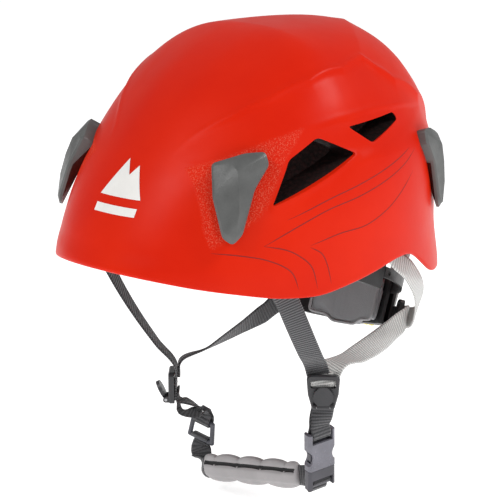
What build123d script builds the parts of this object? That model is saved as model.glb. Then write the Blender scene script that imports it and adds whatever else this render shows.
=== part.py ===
from build123d import *
import math
import os

# A climbing helmet in millimetres. +Z is up, the brow faces -Y and the wearer's left is +X.
# The origin is in the middle of the head opening, level with the front edge of the brim.

# Shell: a dome whose plan is a squircle and whose three profiles are squircles too.
SIDE_REACH = 108.0
FRONT_REACH = 136.0
REAR_REACH = 134.0
CROWN_HEIGHT = 137.0
PLAN_POWER = 2.05
SIDE_POWER = 2.65
FRONT_POWER = 1.5
REAR_POWER = 3.6
BRIM_FLARE = 3.5
TAIL_FLARE = 6.5
SHELL_WALL = 3.0
FOAM_GAP = 0.3
FOAM_WALL = 18.0
FOAM_EDGE_HEIGHT = 10.0
PAD_WALL = 5.0
DOME_CENTRE = (0.0, 0.0, -10.0)
PATCH_STEPS = 30
PATCH_REACH = 1.3
CROWN_MARGIN = 4

# The edge of the shell in side view: (y, z) from the brim to the nape.
RIM_LINE = [(-150, 2), (-141, 0), (-110, -8), (-70, -16), (-40, -18), (0, -10.5), (28, -4.5),
            (47, -4), (64, -15), (82, -26), (110, -29), (150, -31)]
RIM_TOP = 150.0

# Side vents in side view: (y, z) corners.
VENT_FRONT = [(-67, 39), (-51, 66), (-30, 78), (-5, 66)]
VENT_REAR = [(-6, 82), (42, 85), (45, 80), (12, 70)]
VENT_CORNER = 2.0

# Headlamp clips. The outline is (towards the middle of the helmet, up) from the clip's centre.
CLIP_FRONT_AT = (-84.0, 45.0)
CLIP_REAR_AT = (84.0, 42.0)
CLIP_OUTLINE = [(-15, 21), (5, 27), (17, 28), (19, 20), (10, 5), (2, -22), (-4, -28), (-10, -24), (-15, 0)]
CLIP_CORNER = 2.5
CLIP_WALL = 6.5
CLIP_GAP = 3.0
CLIP_SEAT_FROM = 6.0
STUD_RADIUS = 2.2
STUD_HEAD_RADIUS = 4.0
STUD_HEAD = 1.5
STUD_PLACES = [(-7, 16), (9, 19)]
WALL_CURVE = 75.0

# Webbing.
WEB_WIDTH = 15.0
WEB_WALL = 1.4
SLOT_PLAY = 0.4

# The head loop: headband in front, adjuster behind, in one plane that drops towards the nape.
LOOP_TILT = 24.0
LOOP_ROLL = 4.0
NAPE = (0.0, 106.0, -66.0)
BAND_RADIUS = 76.0
BAND_WALL = 2.0
BAND_HEIGHT = 7.0
BAND_FRONT_ANGLE = 84.0
BAND_TAIL_ANGLE = 15.5
TOOTHED_ANGLE = 52.0
TOOTH_PITCH = 3.0
TOOTH_HEIGHT = 1.9
TOOTH_TIP = 0.75
TOOTH_ROOT = 1.75
PINION_TEETH = 12
PITCH_RADIUS = PINION_TEETH * TOOTH_PITCH / (2 * math.pi)
CARRIER_ANGLE = 29.0
CARRIER_HALF_HEIGHT = 17.0
CARRIER_WALL = 2.0
CHANNEL_PLAY = 0.4
HOUSING_WALL = 4.0
PAD_ANGLE = 26.0
NAPE_PAD_WALL = 6.0
DIAL_RADIUS = 16.0
DIAL_WALL = 10.0
DIAL_SCALLOPS = 16
SHAFT_RADIUS = 3.0
RUNNING_PLAY = 0.05
BODY_PLAY = 0.4
CHANNEL_IN = BAND_RADIUS - BAND_WALL / 2.0 - CHANNEL_PLAY
CHANNEL_OUT = BAND_RADIUS + BAND_WALL / 2.0 + CHANNEL_PLAY + 0.2
COVER_OUT = CHANNEL_OUT + CARRIER_WALL
HOUSING_OUT = COVER_OUT + HOUSING_WALL
DIAL_IN = HOUSING_OUT + BODY_PLAY
ARM_SIDE = 30.0
ARM_TOP = 48.0
ARM_BOTTOM = -8.0
ARM_WALL = 2.4
ARM_PIN_RADIUS = 1.5
ARM_BARREL_RADIUS = 2.9
ARM_BARREL_LENGTH = 12.0
PEG_RADIUS = 1.8
PEG_HEIGHTS = (2.0, 11.0)
GUIDE_ANGLE = 33.5
GUIDE_RADIUS = 82.0
GUIDE_WALL = 3.0
GUIDE_HEIGHT = -9.0
BROW_REACH = 135.0
BROW_SIDE = 79.5
HEADBAND_WALL = 1.6
HEADBAND_LOW = -2.0
HEADBAND_HIGH = 20.0

# Strap anchors on the inner wall: (y, z, depth from the wall).
FRONT_ANCHOR = (-63.0, -3.0, 8.0)
REAR_ANCHOR = (46.0, 4.0, 13.0)
ANCHOR_SIZE = (21.0, 10.0)

# Strap dividers: centre, side they face, and the angle that the cam lever rests at.
DIVIDER_LEFT = (76.0, -8.0, -92.0)
DIVIDER_RIGHT = (-75.0, -3.0, -121.0)
DIVIDER_YAW = 45.0
LEVER_REST_LEFT = 0.0
LEVER_REST_RIGHT = 27.0
DIVIDER_WALL = 4.0
DIVIDER_OUTLINE = [(-11, 9.5), (11, 9.5), (10, -3), (7, -14), (-7, -14), (-10, -3)]
LEVER_PIVOT = (-11.0, 4.0)
LEVER_DISC_RADIUS = 6.5
LEVER_PIN_RADIUS = 1.0

# Chin buckle: a socket on the left lower strap and a plug on the chin webbing.
BUCKLE_MOUTH = (66.1, -0.5, -148.4)
BUCKLE_UP = (0.143, -0.167, 0.976)
BUCKLE_ACROSS = (0.2, 0.97, 0.14)
BUCKLE_WIDTH = 21.0
BUCKLE_WALL = 7.6
SOCKET_LENGTH = 27.0
PLUG_LENGTH = 14.0
BAR_RADIUS = 1.8
PRONG_OUTLINE = [(5.4, -0.2), (7.6, -0.2), (7.6, 5.0), (8.4, 7.0), (8.4, 12.0), (7.9, 13.0), (6.2, 17.0),
                 (5.4, 17.0)]

# Chin pad and the ring at its right end.
PAD_LEFT_END = (45.0, 2.5, -160.6)
PAD_RIGHT_END = (-45.0, 2.0, -176.3)
CHIN_PAD_HEIGHT = 20.0
CHIN_PAD_WALL = 9.0
RING_CENTRE = (-55.0, 7.0, -153.0)
RING_HEIGHT = 17.0
RING_ROD = 1.7


def squircle(reach, share, power):
    """Half-width of a squircle profile at a share of its height."""
    share = min(share, 1.0 - 1e-9)
    return reach * (1.0 - max(share, 0.0) ** power) ** (1.0 / power)


def ease(value):
    """0 below 0, 1 above 1 and a smooth step between."""
    value = min(max(value, 0.0), 1.0)
    return value * value * (3.0 - 2.0 * value)


def reaches(z):
    """How far the shell reaches to the side, the front and the rear at a height."""
    share = z / CROWN_HEIGHT
    front = squircle(FRONT_REACH, share, FRONT_POWER) + BRIM_FLARE * ease((12.0 - z) / 24.0)
    rear = squircle(REAR_REACH, share, REAR_POWER) + TAIL_FLARE * ease((8.0 - z) / 38.0)
    return squircle(SIDE_REACH, share, SIDE_POWER), front, rear


def outside(x, y, z):
    """True where a point lies outside the dome."""
    if z >= CROWN_HEIGHT:
        return True
    side, front, rear = reaches(z)
    reach = front if y < 0 else rear
    return abs(x / side) ** PLAN_POWER + abs(y / reach) ** PLAN_POWER > 1.0


def dome_hit(direction):
    """The point where a ray from the dome's centre leaves the dome."""
    centre = Vector(*DOME_CENTRE)
    near, far = 10.0, 320.0
    for _ in range(34):
        middle = (near + far) / 2.0
        point = centre + direction * middle
        if outside(point.X, point.Y, point.Z):
            far = middle
        else:
            near = middle
    return centre + direction * near


def dome_at(s, t):
    """A dome point from stereographic coordinates, so that the patch has no pole."""
    square = s * s + t * t
    direction = Vector(2.0 * s, 2.0 * t, 1.0 - square) / (1.0 + square)
    return dome_hit(direction)


def dome_grid():
    """A square grid of (point, outward normal) pairs over the dome."""
    rows = []
    step = 2.0 * PATCH_REACH / PATCH_STEPS
    for i in range(PATCH_STEPS + 1):
        row = []
        for j in range(PATCH_STEPS + 1):
            s = -PATCH_REACH + i * step
            t = -PATCH_REACH + j * step
            along_s = dome_at(s + step / 4.0, t) - dome_at(s - step / 4.0, t)
            along_t = dome_at(s, t + step / 4.0) - dome_at(s, t - step / 4.0)
            row.append((dome_at(s, t), along_s.cross(along_t).normalized()))
        rows.append(row)
    return rows


GRID = dome_grid()


def grid_part(margin):
    """The grid without its outermost rows and columns."""
    stop = len(GRID) - margin
    return [row[margin:stop] for row in GRID[margin:stop]]


def dome_patch(offset, margin=0):
    """The dome as one smooth face, moved outwards by an offset."""
    points = [[point + normal * offset for point, normal in row] for row in grid_part(margin)]
    return Face.make_surface_from_array_of_points(points, tol=0.02)


def dome_skin(inner, outer, margin=0):
    """The solid between two offsets of the dome, open at the bottom of the head."""
    low, high = dome_patch(inner, margin), dome_patch(outer, margin)
    grid = grid_part(margin)
    corners = [(0, 0), (0, -1), (-1, -1), (-1, 0)]
    faces = [low, high]
    for k in range(4):
        wires = []
        for offset, face in ((inner, low), (outer, high)):
            ends = []
            for i, j in (corners[k], corners[(k + 1) % 4]):
                point, normal = grid[i][j]
                ends.append(point + normal * offset)
            middle = (ends[0] + ends[1]) / 2.0
            wires.append(min(face.edges(), key=lambda e: (e.center() - middle).length))
        faces.append(Face.make_surface_from_curves(wires[0], wires[1]))
    return Part() + Solid(Shell(faces))


def wall_point(y, z, offset=0.0):
    """A point on the left wall at a given y and z, moved outwards by an offset."""
    side, front, rear = reaches(z)
    reach = front if y < 0 else rear
    x = side * (1.0 - abs(y / reach) ** PLAN_POWER) ** (1.0 / PLAN_POWER)
    return Vector(x, y, z) + wall_normal(x, y, z) * offset


def wall_normal(x, y, z):
    """The outward normal of the dome near a point on it."""
    def level(px, py, pz):
        side, front, rear = reaches(pz)
        reach = front if py < 0 else rear
        return abs(px / side) ** PLAN_POWER + abs(py / reach) ** PLAN_POWER
    step = 0.05
    return Vector(
        level(x + step, y, z) - level(x - step, y, z),
        level(x, y + step, z) - level(x, y - step, z),
        level(x, y, z + step) - level(x, y, z - step),
    ).normalized()


def wall_plane(y, z, offset=0.0, level=False):
    """A plane on the left wall: its z looks outwards, its y looks up and its x runs rearwards."""
    point = wall_point(y, z)
    normal = wall_normal(point.X, point.Y, point.Z)
    if level:
        normal = Vector(normal.X, normal.Y, 0).normalized()
    across = Vector(0, 0, 1).cross(normal).normalized()
    return Plane(origin=point + normal * offset, x_dir=across, z_dir=normal)


def polygon(points, corner):
    """A closed outline with equal rounded corners."""
    face = make_face(Polyline(*points, close=True))
    return fillet(face.vertices(), corner)


def through_sides(points, corner):
    """A prism across the whole helmet from a side-view outline."""
    return extrude(Plane.YZ * polygon(points, corner), amount=160, both=True)


def above_rim():
    """Everything over the rim line."""
    edge = Spline(*RIM_LINE)
    first, last = RIM_LINE[0], RIM_LINE[-1]
    rest = Polyline(last, (last[0], RIM_TOP), (first[0], RIM_TOP), first)
    return extrude(Plane.YZ * make_face([edge, rest]), amount=160, both=True)


def both_sides(left):
    """A left-hand piece and its mirror image."""
    return left, mirror(left, about=Plane.YZ)


def largest(shape):
    """The biggest solid of a shape."""
    return max(shape.solids(), key=lambda s: s.volume)


def ribbon(stations, width=WEB_WIDTH, wall=WEB_WALL):
    """A flat strap through stations of (centre, direction across the strap)."""
    sections = []
    for i, (centre, across) in enumerate(stations):
        before = Vector(*stations[max(i - 1, 0)][0])
        after = Vector(*stations[min(i + 1, len(stations) - 1)][0])
        along = (after - before).normalized()
        across = Vector(*across)
        across = (across - along * across.dot(along)).normalized()
        plane = Plane(origin=Vector(*centre), x_dir=across, z_dir=along)
        sections.append(plane * Rectangle(width, wall))
    return loft(sections, ruled=True)


def cylinder_between(start, end, radius):
    """A round bar from one point to another."""
    start, end = Vector(*start), Vector(*end)
    axis = end - start
    plane = Plane(origin=start, z_dir=axis)
    return extrude(plane * Circle(radius), amount=axis.length)


# ---- shell, liner and clips ----

def clip_plane(rear):
    """Where a left clip sits: x looks towards the middle of the helmet's side and y up."""
    return wall_plane(*(CLIP_REAR_AT if rear else CLIP_FRONT_AT))


def clip_side(rear):
    """+1 or -1: the local x direction that leads to the middle of the side."""
    return -1.0 if rear else 1.0


def make_clip(rear):
    """One left headlamp clip, hooked upwards with a gap for the lamp's strap."""
    side = clip_side(rear)
    outline = [(side * u, v) for u, v in CLIP_OUTLINE]
    plane = clip_plane(rear)
    prism = extrude(plane * polygon(outline, CLIP_CORNER), amount=20, both=True)
    slot = extrude(plane * Pos(0, CLIP_SEAT_FROM - 40) * Rectangle(80, 80), amount=20, both=True)
    clip = prism & dome_skin(0.05, CLIP_WALL)
    clip -= slot & dome_skin(-1.0, CLIP_GAP)
    for bar in stud_cuts(rear, STUD_RADIUS, -8.0, 3.5):
        clip -= bar
    return largest(clip)


def stud_cuts(rear, radius, low, high):
    """Bars along the clip's normal at both stud places."""
    plane = clip_plane(rear)
    bars = []
    for u, v in STUD_PLACES:
        fall = (u * u + v * v) / (2.0 * WALL_CURVE)
        foot = plane.offset(low - fall)
        bars.append(extrude(foot * Pos(clip_side(rear) * u, v) * Circle(radius), amount=high - low + fall))
    return bars


def make_studs():
    """Eight push studs that hold the four clips."""
    studs = []
    for rear in (False, True):
        low = -SHELL_WALL - 1.2 - STUD_HEAD
        shanks = stud_cuts(rear, STUD_RADIUS, low, 3.5)
        heads = stud_cuts(rear, STUD_HEAD_RADIUS, low, 60.0)
        for shank, head in zip(shanks, heads):
            studs += both_sides(shank + (head - dome_skin(low + STUD_HEAD, 90.0)))
    return Compound(children=studs)


def make_shell(rim, vents):
    """The hard outer shell with its vents and stud holes."""
    shell = dome_skin(-SHELL_WALL, 0.0) & rim
    for vent in vents:
        shell -= vent
    cuts = stud_cuts(False, STUD_RADIUS, -12.0, 4.0) + stud_cuts(True, STUD_RADIUS, -12.0, 4.0)
    cuts += [make_rivet(FRONT_ANCHOR), make_rivet(REAR_ANCHOR)]
    for bar in cuts:
        for cut in both_sides(bar):
            shell -= cut
    return largest(shell)


def make_foam(vents):
    """The expanded foam cap inside the shell."""
    top = Pos(0, 0, FOAM_EDGE_HEIGHT + 100) * Box(400, 400, 200)
    foam = dome_skin(-SHELL_WALL - FOAM_GAP - FOAM_WALL, -SHELL_WALL - FOAM_GAP, CROWN_MARGIN) & top
    for vent in vents:
        foam -= vent
    for rear in (False, True):
        for bar in stud_cuts(rear, STUD_HEAD_RADIUS + 0.6, -7.5, -1.0):
            for cut in both_sides(bar):
                foam -= cut
    return largest(foam)


def make_crown_pads():
    """Comfort pads stuck inside the foam cap."""
    inner = SHELL_WALL + FOAM_GAP + FOAM_WALL + 0.1
    skin = dome_skin(-inner - PAD_WALL, -inner, CROWN_MARGIN)
    outlines = [
        Pos(0, -8) * RectangleRounded(30, 96, 12),
        Pos(44, -20) * Rot(Z=10) * RectangleRounded(20, 62, 9),
        Pos(-44, -20) * Rot(Z=-10) * RectangleRounded(20, 62, 9),
        Pos(40, 48) * Rot(Z=-24) * RectangleRounded(22, 40, 9),
        Pos(-40, 48) * Rot(Z=24) * RectangleRounded(22, 40, 9),
    ]
    pads = []
    for outline in outlines:
        column = extrude(Pos(0, 0, 40) * outline, amount=120)
        pads.append(largest(column & skin))
    return Compound(children=pads)


# ---- strap anchors ----

def anchor_plane(anchor):
    """The level wall plane of an anchor, just clear of the inner wall."""
    y, z, _ = anchor
    return wall_plane(y, z, offset=-SHELL_WALL - 1.2, level=True)


def make_anchor(anchor):
    """A moulded block on the inner wall with an upright slot for the strap."""
    wide, high = ANCHOR_SIZE
    depth = anchor[2]
    block = Pos(0, 0, -depth / 2.0) * Box(wide, high, depth)
    block = fillet(block.edges().filter_by(Axis.Z), 2.0)
    slot = Pos(0, 0, -depth + 3.0) * Box(WEB_WIDTH + 1.2, high + 2, WEB_WALL + 2 * SLOT_PLAY)
    bore = Pos(0, 0, -1.5) * Cylinder(STUD_RADIUS, 3.0)
    return anchor_plane(anchor) * (block - slot - bore)


def make_rivet(anchor):
    """The rivet from inside the shell's wall into the anchor."""
    shank = Pos(0, 0, -0.4) * Cylinder(STUD_RADIUS, 5.2)
    return anchor_plane(anchor) * shank


def anchor_slot(anchor):
    """The middle of an anchor's slot and the direction across its strap."""
    plane = anchor_plane(anchor)
    centre = plane.origin + plane.z_dir * (3.0 - anchor[2])
    return centre, plane.x_dir


# ---- head loop ----

def loop_frame():
    """The frame of the head loop: x to the wearer's left, y to the rear and z up the nape."""
    turn = Rot(X=-LOOP_TILT) * Rot(Y=-LOOP_ROLL)
    rear = Vector(0, math.cos(math.radians(LOOP_TILT)), -math.sin(math.radians(LOOP_TILT)))
    centre = Vector(*NAPE) - rear * BAND_RADIUS
    return Pos(centre.X, centre.Y, centre.Z) * turn


LOOP = loop_frame()
LOOP_DOWN = LOOP.position - (LOOP * Pos(0, 0, 1)).position


def sector(inner, outer, low, high, start, end):
    """A curved plate about the loop's centre. Angles run from the rear towards the left."""
    ring = Circle(outer) - Circle(inner)
    reach = 3.0 * outer
    steps = max(2, math.ceil(abs(end - start) / 60.0) + 1)
    corners = [(0.0, 0.0)]
    for k in range(steps):
        angle = math.radians(start + (end - start) * k / (steps - 1))
        corners.append((reach * math.sin(angle), reach * math.cos(angle)))
    wedge = make_face(Polyline(*corners, close=True))
    return extrude(Pos(0, 0, low) * (ring & wedge), amount=high - low)


def tooth_outline(root, tip, height):
    """A rack tooth: a trapezoid on the pitch side of the band."""
    return [(-root / 2, 0), (root / 2, 0), (tip / 2, height), (-tip / 2, height)]


def make_rack(side):
    """A curved toothed band. The right one runs under the pinion and the left one over it."""
    root_line = PITCH_RADIUS + TOOTH_HEIGHT / 2.0 + 0.15
    inner, outer = BAND_RADIUS - BAND_WALL / 2.0, BAND_RADIUS + BAND_WALL / 2.0
    start, end = -BAND_TAIL_ANGLE, BAND_FRONT_ANGLE
    band = sector(inner, outer, root_line, root_line + BAND_HEIGHT, start, end)
    band -= loop_hole(BAND_FRONT_ANGLE - 4.0, root_line + BAND_HEIGHT / 2.0)
    step = math.degrees(TOOTH_PITCH / BAND_RADIUS)
    outline = tooth_outline(TOOTH_ROOT, TOOTH_TIP, TOOTH_HEIGHT)
    first = math.ceil(start / step) + 1
    last = math.floor(TOOTHED_ANGLE / step)
    blade = Plane(origin=(0, outer, root_line), x_dir=(1, 0, 0), z_dir=(0, -1, 0))
    flipped = [(u, -v) for u, v in outline]
    tooth = extrude(blade * make_face(Polyline(*flipped, close=True)), amount=BAND_WALL)
    teeth = []
    for k in range(first, last + 1):
        teeth.append(Rot(Z=-(k + 0.5) * step) * tooth)
    band += teeth
    if side < 0:
        band = Rot(Y=180) * band
    return band


def loop_hole(angle, height):
    """A radial hole through a band at an angle and height."""
    return Rot(Z=-angle) * Pos(0, BAND_RADIUS, height) * Rot(X=90) * Cylinder(1.6, 12)


def make_pinion():
    """The twelve-toothed pinion between the two bands, in the loop's frame."""
    root_radius = PITCH_RADIUS - TOOTH_HEIGHT / 2.0
    gear = Circle(root_radius)
    outline = [(-0.95, -0.4), (0.95, -0.4), (0.38, TOOTH_HEIGHT - 0.15), (-0.38, TOOTH_HEIGHT - 0.15)]
    for k in range(PINION_TEETH):
        tooth = make_face(Polyline(*[(u, v + root_radius) for u, v in outline], close=True))
        gear += Rot(Z=360.0 / PINION_TEETH * k) * tooth
    gear -= Circle(SHAFT_RADIUS - 0.6)
    face = Plane(origin=(0, BAND_RADIUS - 1.1, 0), x_dir=(1, 0, 0), z_dir=(0, 1, 0))
    return extrude(face * gear, amount=2.1)


def make_carrier():
    """The channel behind the nape: an inner plate with rails along both edges."""
    inner = CHANNEL_IN - CARRIER_WALL
    half = CARRIER_HALF_HEIGHT
    plate = sector(inner, CHANNEL_IN, -half, half, -CARRIER_ANGLE, CARRIER_ANGLE)
    for low in (-half, half - 1.8):
        plate += sector(inner, CHANNEL_OUT - 0.05, low, low + 1.8, -CARRIER_ANGLE, CARRIER_ANGLE)
    return plate


def make_cover():
    """The outer plate of the channel, bored for the dial's shaft."""
    half = CARRIER_HALF_HEIGHT
    plate = sector(CHANNEL_OUT, COVER_OUT, -half, half, -CARRIER_ANGLE, CARRIER_ANGLE)
    for side in (-1, 1):
        for peg in arm_pegs(side):
            plate -= peg
    return plate - radial_bar(SHAFT_RADIUS + RUNNING_PLAY, CHANNEL_OUT - 3, COVER_OUT + 3)


def radial_bar(radius, start, end):
    """A bar along the dial's axis between two distances from the loop's centre."""
    plane = Plane(origin=(0, start, 0), x_dir=(1, 0, 0), z_dir=(0, 1, 0))
    return extrude(plane * Circle(radius), amount=end - start)


def make_housing():
    """The round seat of the dial on the back of the cover."""
    seat = radial_bar(DIAL_RADIUS + 1.0, CHANNEL_OUT, HOUSING_OUT)
    seat -= radial_bar(DIAL_RADIUS - 4.0, HOUSING_OUT - 1.5, HOUSING_OUT + 1)
    seat -= radial_bar(SHAFT_RADIUS + RUNNING_PLAY, CHANNEL_OUT - 1, HOUSING_OUT + 1)
    keep = sector(COVER_OUT + 0.02, HOUSING_OUT + 5, -30, 30, -30, 30)
    return seat & keep


def make_dial():
    """The scalloped adjusting wheel and its shaft."""
    wheel = Circle(DIAL_RADIUS)
    for k in range(DIAL_SCALLOPS):
        wheel -= Rot(Z=360.0 / DIAL_SCALLOPS * k) * Pos(0, DIAL_RADIUS + 1.2) * Circle(2.4)
    plane = Plane(origin=(0, DIAL_IN, 0), x_dir=(1, 0, 0), z_dir=(0, 1, 0))
    dial = extrude(plane * wheel, amount=DIAL_WALL)
    dial -= radial_bar(8.0, DIAL_IN + DIAL_WALL - 2.5, DIAL_IN + DIAL_WALL + 1)
    dial += radial_bar(SHAFT_RADIUS, BAND_RADIUS + 1.05, DIAL_IN + 0.5)
    return dial - radial_bar(1.5, BAND_RADIUS - 3, DIAL_IN + DIAL_WALL + 1)


def make_dial_screw():
    """The screw that holds the pinion on the dial's shaft."""
    head = DIAL_IN + DIAL_WALL - 2.5
    screw = radial_bar(1.45, BAND_RADIUS - 1.0, head)
    screw += radial_bar(4.2, head, head + 2.0)
    slot = Pos(0, head + 2.0, 0) * Box(6.0, 1.6, 1.2)
    return screw - slot


def make_pinion_hub(pinion):
    """The pinion with a solid boss that the screw passes."""
    hub = radial_bar(SHAFT_RADIUS - 0.4, BAND_RADIUS - 1.1, BAND_RADIUS + 1.0)
    return (pinion + hub) - radial_bar(1.5, BAND_RADIUS - 3, BAND_RADIUS + 3)


def make_nape_pad():
    """The soft pad inside the carrier, with a lobe that dips behind the neck."""
    outer = CHANNEL_IN - CARRIER_WALL - 0.05
    inner = outer - NAPE_PAD_WALL
    pad = sector(inner, outer, -16.5, 15.0, -PAD_ANGLE, PAD_ANGLE)
    return pad + sector(inner, outer, -21.0, -10.0, -13.0, 13.0)


def make_strap_guide(side):
    """A loop on each end of the carrier that the rear straps are folded through."""
    frame = RectangleRounded(9.0, 22.0, 3.0) - RectangleRounded(4.4, WEB_WIDTH + 2.0, 1.0)
    body = extrude(frame, amount=GUIDE_WALL / 2.0, both=True)
    body = Rot(Z=-side * GUIDE_ANGLE) * Pos(0, GUIDE_RADIUS, GUIDE_HEIGHT) * Rot(X=90) * body
    low, high = sorted((side * (CARRIER_ANGLE - 2.0), side * (GUIDE_ANGLE - 2.2)))
    tongue = sector(COVER_OUT + 0.05, COVER_OUT + 2.0, GUIDE_HEIGHT - 6.0, GUIDE_HEIGHT + 6.0, low, high)
    return body + tongue


def make_arm(side):
    """A flat hanger from the shell's rear bracket down to the carrier's cover."""
    outline = [(-5, ARM_TOP), (5, ARM_TOP), (5, ARM_TOP - 6), (10, ARM_TOP - 13), (6, ARM_BOTTOM),
               (-6, ARM_BOTTOM), (-10, ARM_TOP - 13), (-5, ARM_TOP - 6)]
    plate = polygon(outline, 1.5)
    for height in (ARM_TOP - 14, ARM_TOP - 22):
        plate -= Pos(0, height) * Circle(2.2)
    plane = Plane(origin=(0, COVER_OUT + 0.05, 0), x_dir=(-1, 0, 0), z_dir=(0, 1, 0))
    body = extrude(plane * plate, amount=ARM_WALL)
    body = Rot(Z=-arm_angle(side)) * body
    body -= sector(20, COVER_OUT + 0.03, -40, 17.3, -60, 60)
    bore = Pos(side * ARM_SIDE, arm_depth(), ARM_TOP) * Rot(Y=90) * Cylinder(ARM_PIN_RADIUS + RUNNING_PLAY, 60)
    barrel = Pos(side * ARM_SIDE, arm_depth(), ARM_TOP)
    barrel *= Rot(Y=90) * Cylinder(ARM_BARREL_RADIUS, ARM_BARREL_LENGTH)
    arm = body + barrel - bore
    for peg in arm_pegs(side):
        arm -= peg
    return largest(arm)


def arm_angle(side):
    """The angle from the rear at which an arm lies on the cover."""
    return side * math.degrees(math.asin(ARM_SIDE / (COVER_OUT + ARM_WALL)))


def arm_pegs(side):
    """The snap pegs that hold one arm on the cover."""
    turn, length = Rot(Z=-arm_angle(side)), CARRIER_WALL + ARM_WALL + 1.0
    pegs = []
    for height in PEG_HEIGHTS:
        plane = Plane(origin=(0, CHANNEL_OUT + 0.3, height), x_dir=(1, 0, 0), z_dir=(0, 1, 0))
        pegs.append(turn * extrude(plane * Circle(PEG_RADIUS), amount=length))
    return pegs


def make_arm_pegs():
    """All four pegs, each with a domed head behind its arm."""
    pegs = []
    for side in (-1, 1):
        for height, peg in zip(PEG_HEIGHTS, arm_pegs(side)):
            plane = Plane(origin=(0, COVER_OUT + ARM_WALL + 0.1, height), x_dir=(1, 0, 0), z_dir=(0, 1, 0))
            head = Rot(Z=-arm_angle(side)) * extrude(plane * Circle(PEG_RADIUS + 1.2), amount=1.8)
            pegs.append(LOOP * (peg + head))
    return Compound(children=pegs)


def arm_depth():
    """How far behind the loop's centre the arms hang."""
    middle = COVER_OUT + ARM_WALL / 2.0
    return math.sqrt(middle ** 2 - ARM_SIDE ** 2) + 0.8


def make_arm_pins():
    """The two pivot pins of the arms."""
    pins = []
    for side in (-1, 1):
        pin = Pos(side * ARM_SIDE, arm_depth(), ARM_TOP) * Rot(Y=90) * Cylinder(ARM_PIN_RADIUS, 17)
        pins.append(LOOP * pin)
    return Compound(children=pins)


def make_rear_bracket(side):
    """A clevis on the inside of the shell's tail that carries one arm."""
    axis = LOOP * Pos(side * ARM_SIDE, arm_depth(), ARM_TOP)
    cheeks = Part()
    for step in (-1, 1):
        cheeks += axis * (Pos(step * 7.9, 4.0, 2.5) * Box(2.4, 17.0, 13.0))
    bridge = axis * (Pos(0, 4.0, 6.5) * Box(18.2, 17.0, 5.0))
    bore = axis * (Rot(Y=90) * Cylinder(ARM_PIN_RADIUS, 40))
    return largest(cheeks + bridge - bore - dome_skin(-SHELL_WALL - 0.05, 30.0))


def make_headband():
    """The flexible front half of the head loop."""
    half = HEADBAND_WALL / 2.0
    ring = Ellipse(BROW_SIDE + half, BROW_REACH + half) - Ellipse(BROW_SIDE - half, BROW_REACH - half)
    front = Pos(0, -200 + 3) * Rectangle(400, 400)
    band = extrude(Pos(0, 0, HEADBAND_LOW) * (ring & front), amount=HEADBAND_HIGH - HEADBAND_LOW)
    return LOOP * band


def make_brow_pad():
    """The pad on the inside of the headband's front."""
    outer = HEADBAND_WALL / 2.0 + 0.1
    inner = outer + 5.0
    ring = Ellipse(BROW_SIDE - outer, BROW_REACH - outer) - Ellipse(BROW_SIDE - inner, BROW_REACH - inner)
    front = Pos(0, -200 - 62) * Rectangle(400, 400)
    pad = extrude(Pos(0, 0, HEADBAND_LOW - 1.0) * (ring & front), amount=HEADBAND_HIGH - HEADBAND_LOW + 2.0)
    return LOOP * pad


def make_hangers():
    """Four tabs that hold the headband in the shell."""
    wall = SHELL_WALL + FOAM_GAP + FOAM_WALL
    keep_out = dome_skin(-wall - 0.1, 6.0, CROWN_MARGIN)
    shell_out = dome_skin(-SHELL_WALL - 0.1, 6.0)
    tabs = []
    for share, reach, limit in ((35.0, 45.0, keep_out), (76.0, 45.0, shell_out)):
        angle = math.radians(share)
        foot = Vector((BROW_SIDE + 0.9) * math.sin(angle), -(BROW_REACH + 0.9) * math.cos(angle))
        out = Vector(math.sin(angle) / BROW_SIDE, -math.cos(angle) / BROW_REACH).normalized()
        turn = math.degrees(math.atan2(out.Y, out.X))
        for side in (-1, 1):
            bar = Pos(reach / 2.0, 0, HEADBAND_HIGH - 4.0) * Box(reach, 12.0, 2.4)
            flip = turn if side > 0 else 180.0 - turn
            bar = LOOP * Pos(side * foot.X, foot.Y, 0) * Rot(Z=flip) * bar
            pieces = (bar - limit).solids()
            start = LOOP * Pos(side * foot.X, foot.Y, HEADBAND_HIGH - 4.0)
            tabs.append(min(pieces, key=lambda s: (s.center() - start.position).length))
    return Compound(children=tabs)


# ---- dividers ----

def divider_plane(left):
    """A divider's frame: x across it, y up and z away from the face."""
    yaw = math.radians(DIVIDER_YAW)
    if left:
        return Plane(origin=DIVIDER_LEFT, x_dir=(math.sin(yaw), math.cos(yaw), 0),
                     z_dir=(math.cos(yaw), -math.sin(yaw), 0))
    return Plane(origin=DIVIDER_RIGHT, x_dir=(math.sin(yaw), -math.cos(yaw), 0),
                 z_dir=(-math.cos(yaw), -math.sin(yaw), 0))


def make_divider():
    """The frame of a strap divider, in its own plane."""
    face = polygon(DIVIDER_OUTLINE, 3.0)
    face -= Pos(0, 3.8) * RectangleRounded(WEB_WIDTH + 1.5, 5.5, 1.2)
    face -= Pos(0, -6.0) * RectangleRounded(9.0, 3.4, 1.0)
    frame = extrude(face, amount=DIVIDER_WALL / 2.0, both=True)
    frame = chamfer(frame.faces().sort_by(Axis.Z)[-1].outer_wire().edges(), 0.8)
    height, depth = LEVER_PIVOT
    for side in (-1, 1):
        ear = Pos(side * 5.6, height, depth) * Rot(Y=90) * Cylinder(1.9, 2.2)
        ear += Pos(side * 5.6, height, depth - 1.3) * Box(2.2, 3.8, 2.6)
        frame += ear
    bore = Pos(0, height, depth) * Rot(Y=90) * Cylinder(LEVER_PIN_RADIUS, 20)
    return frame - bore


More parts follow.
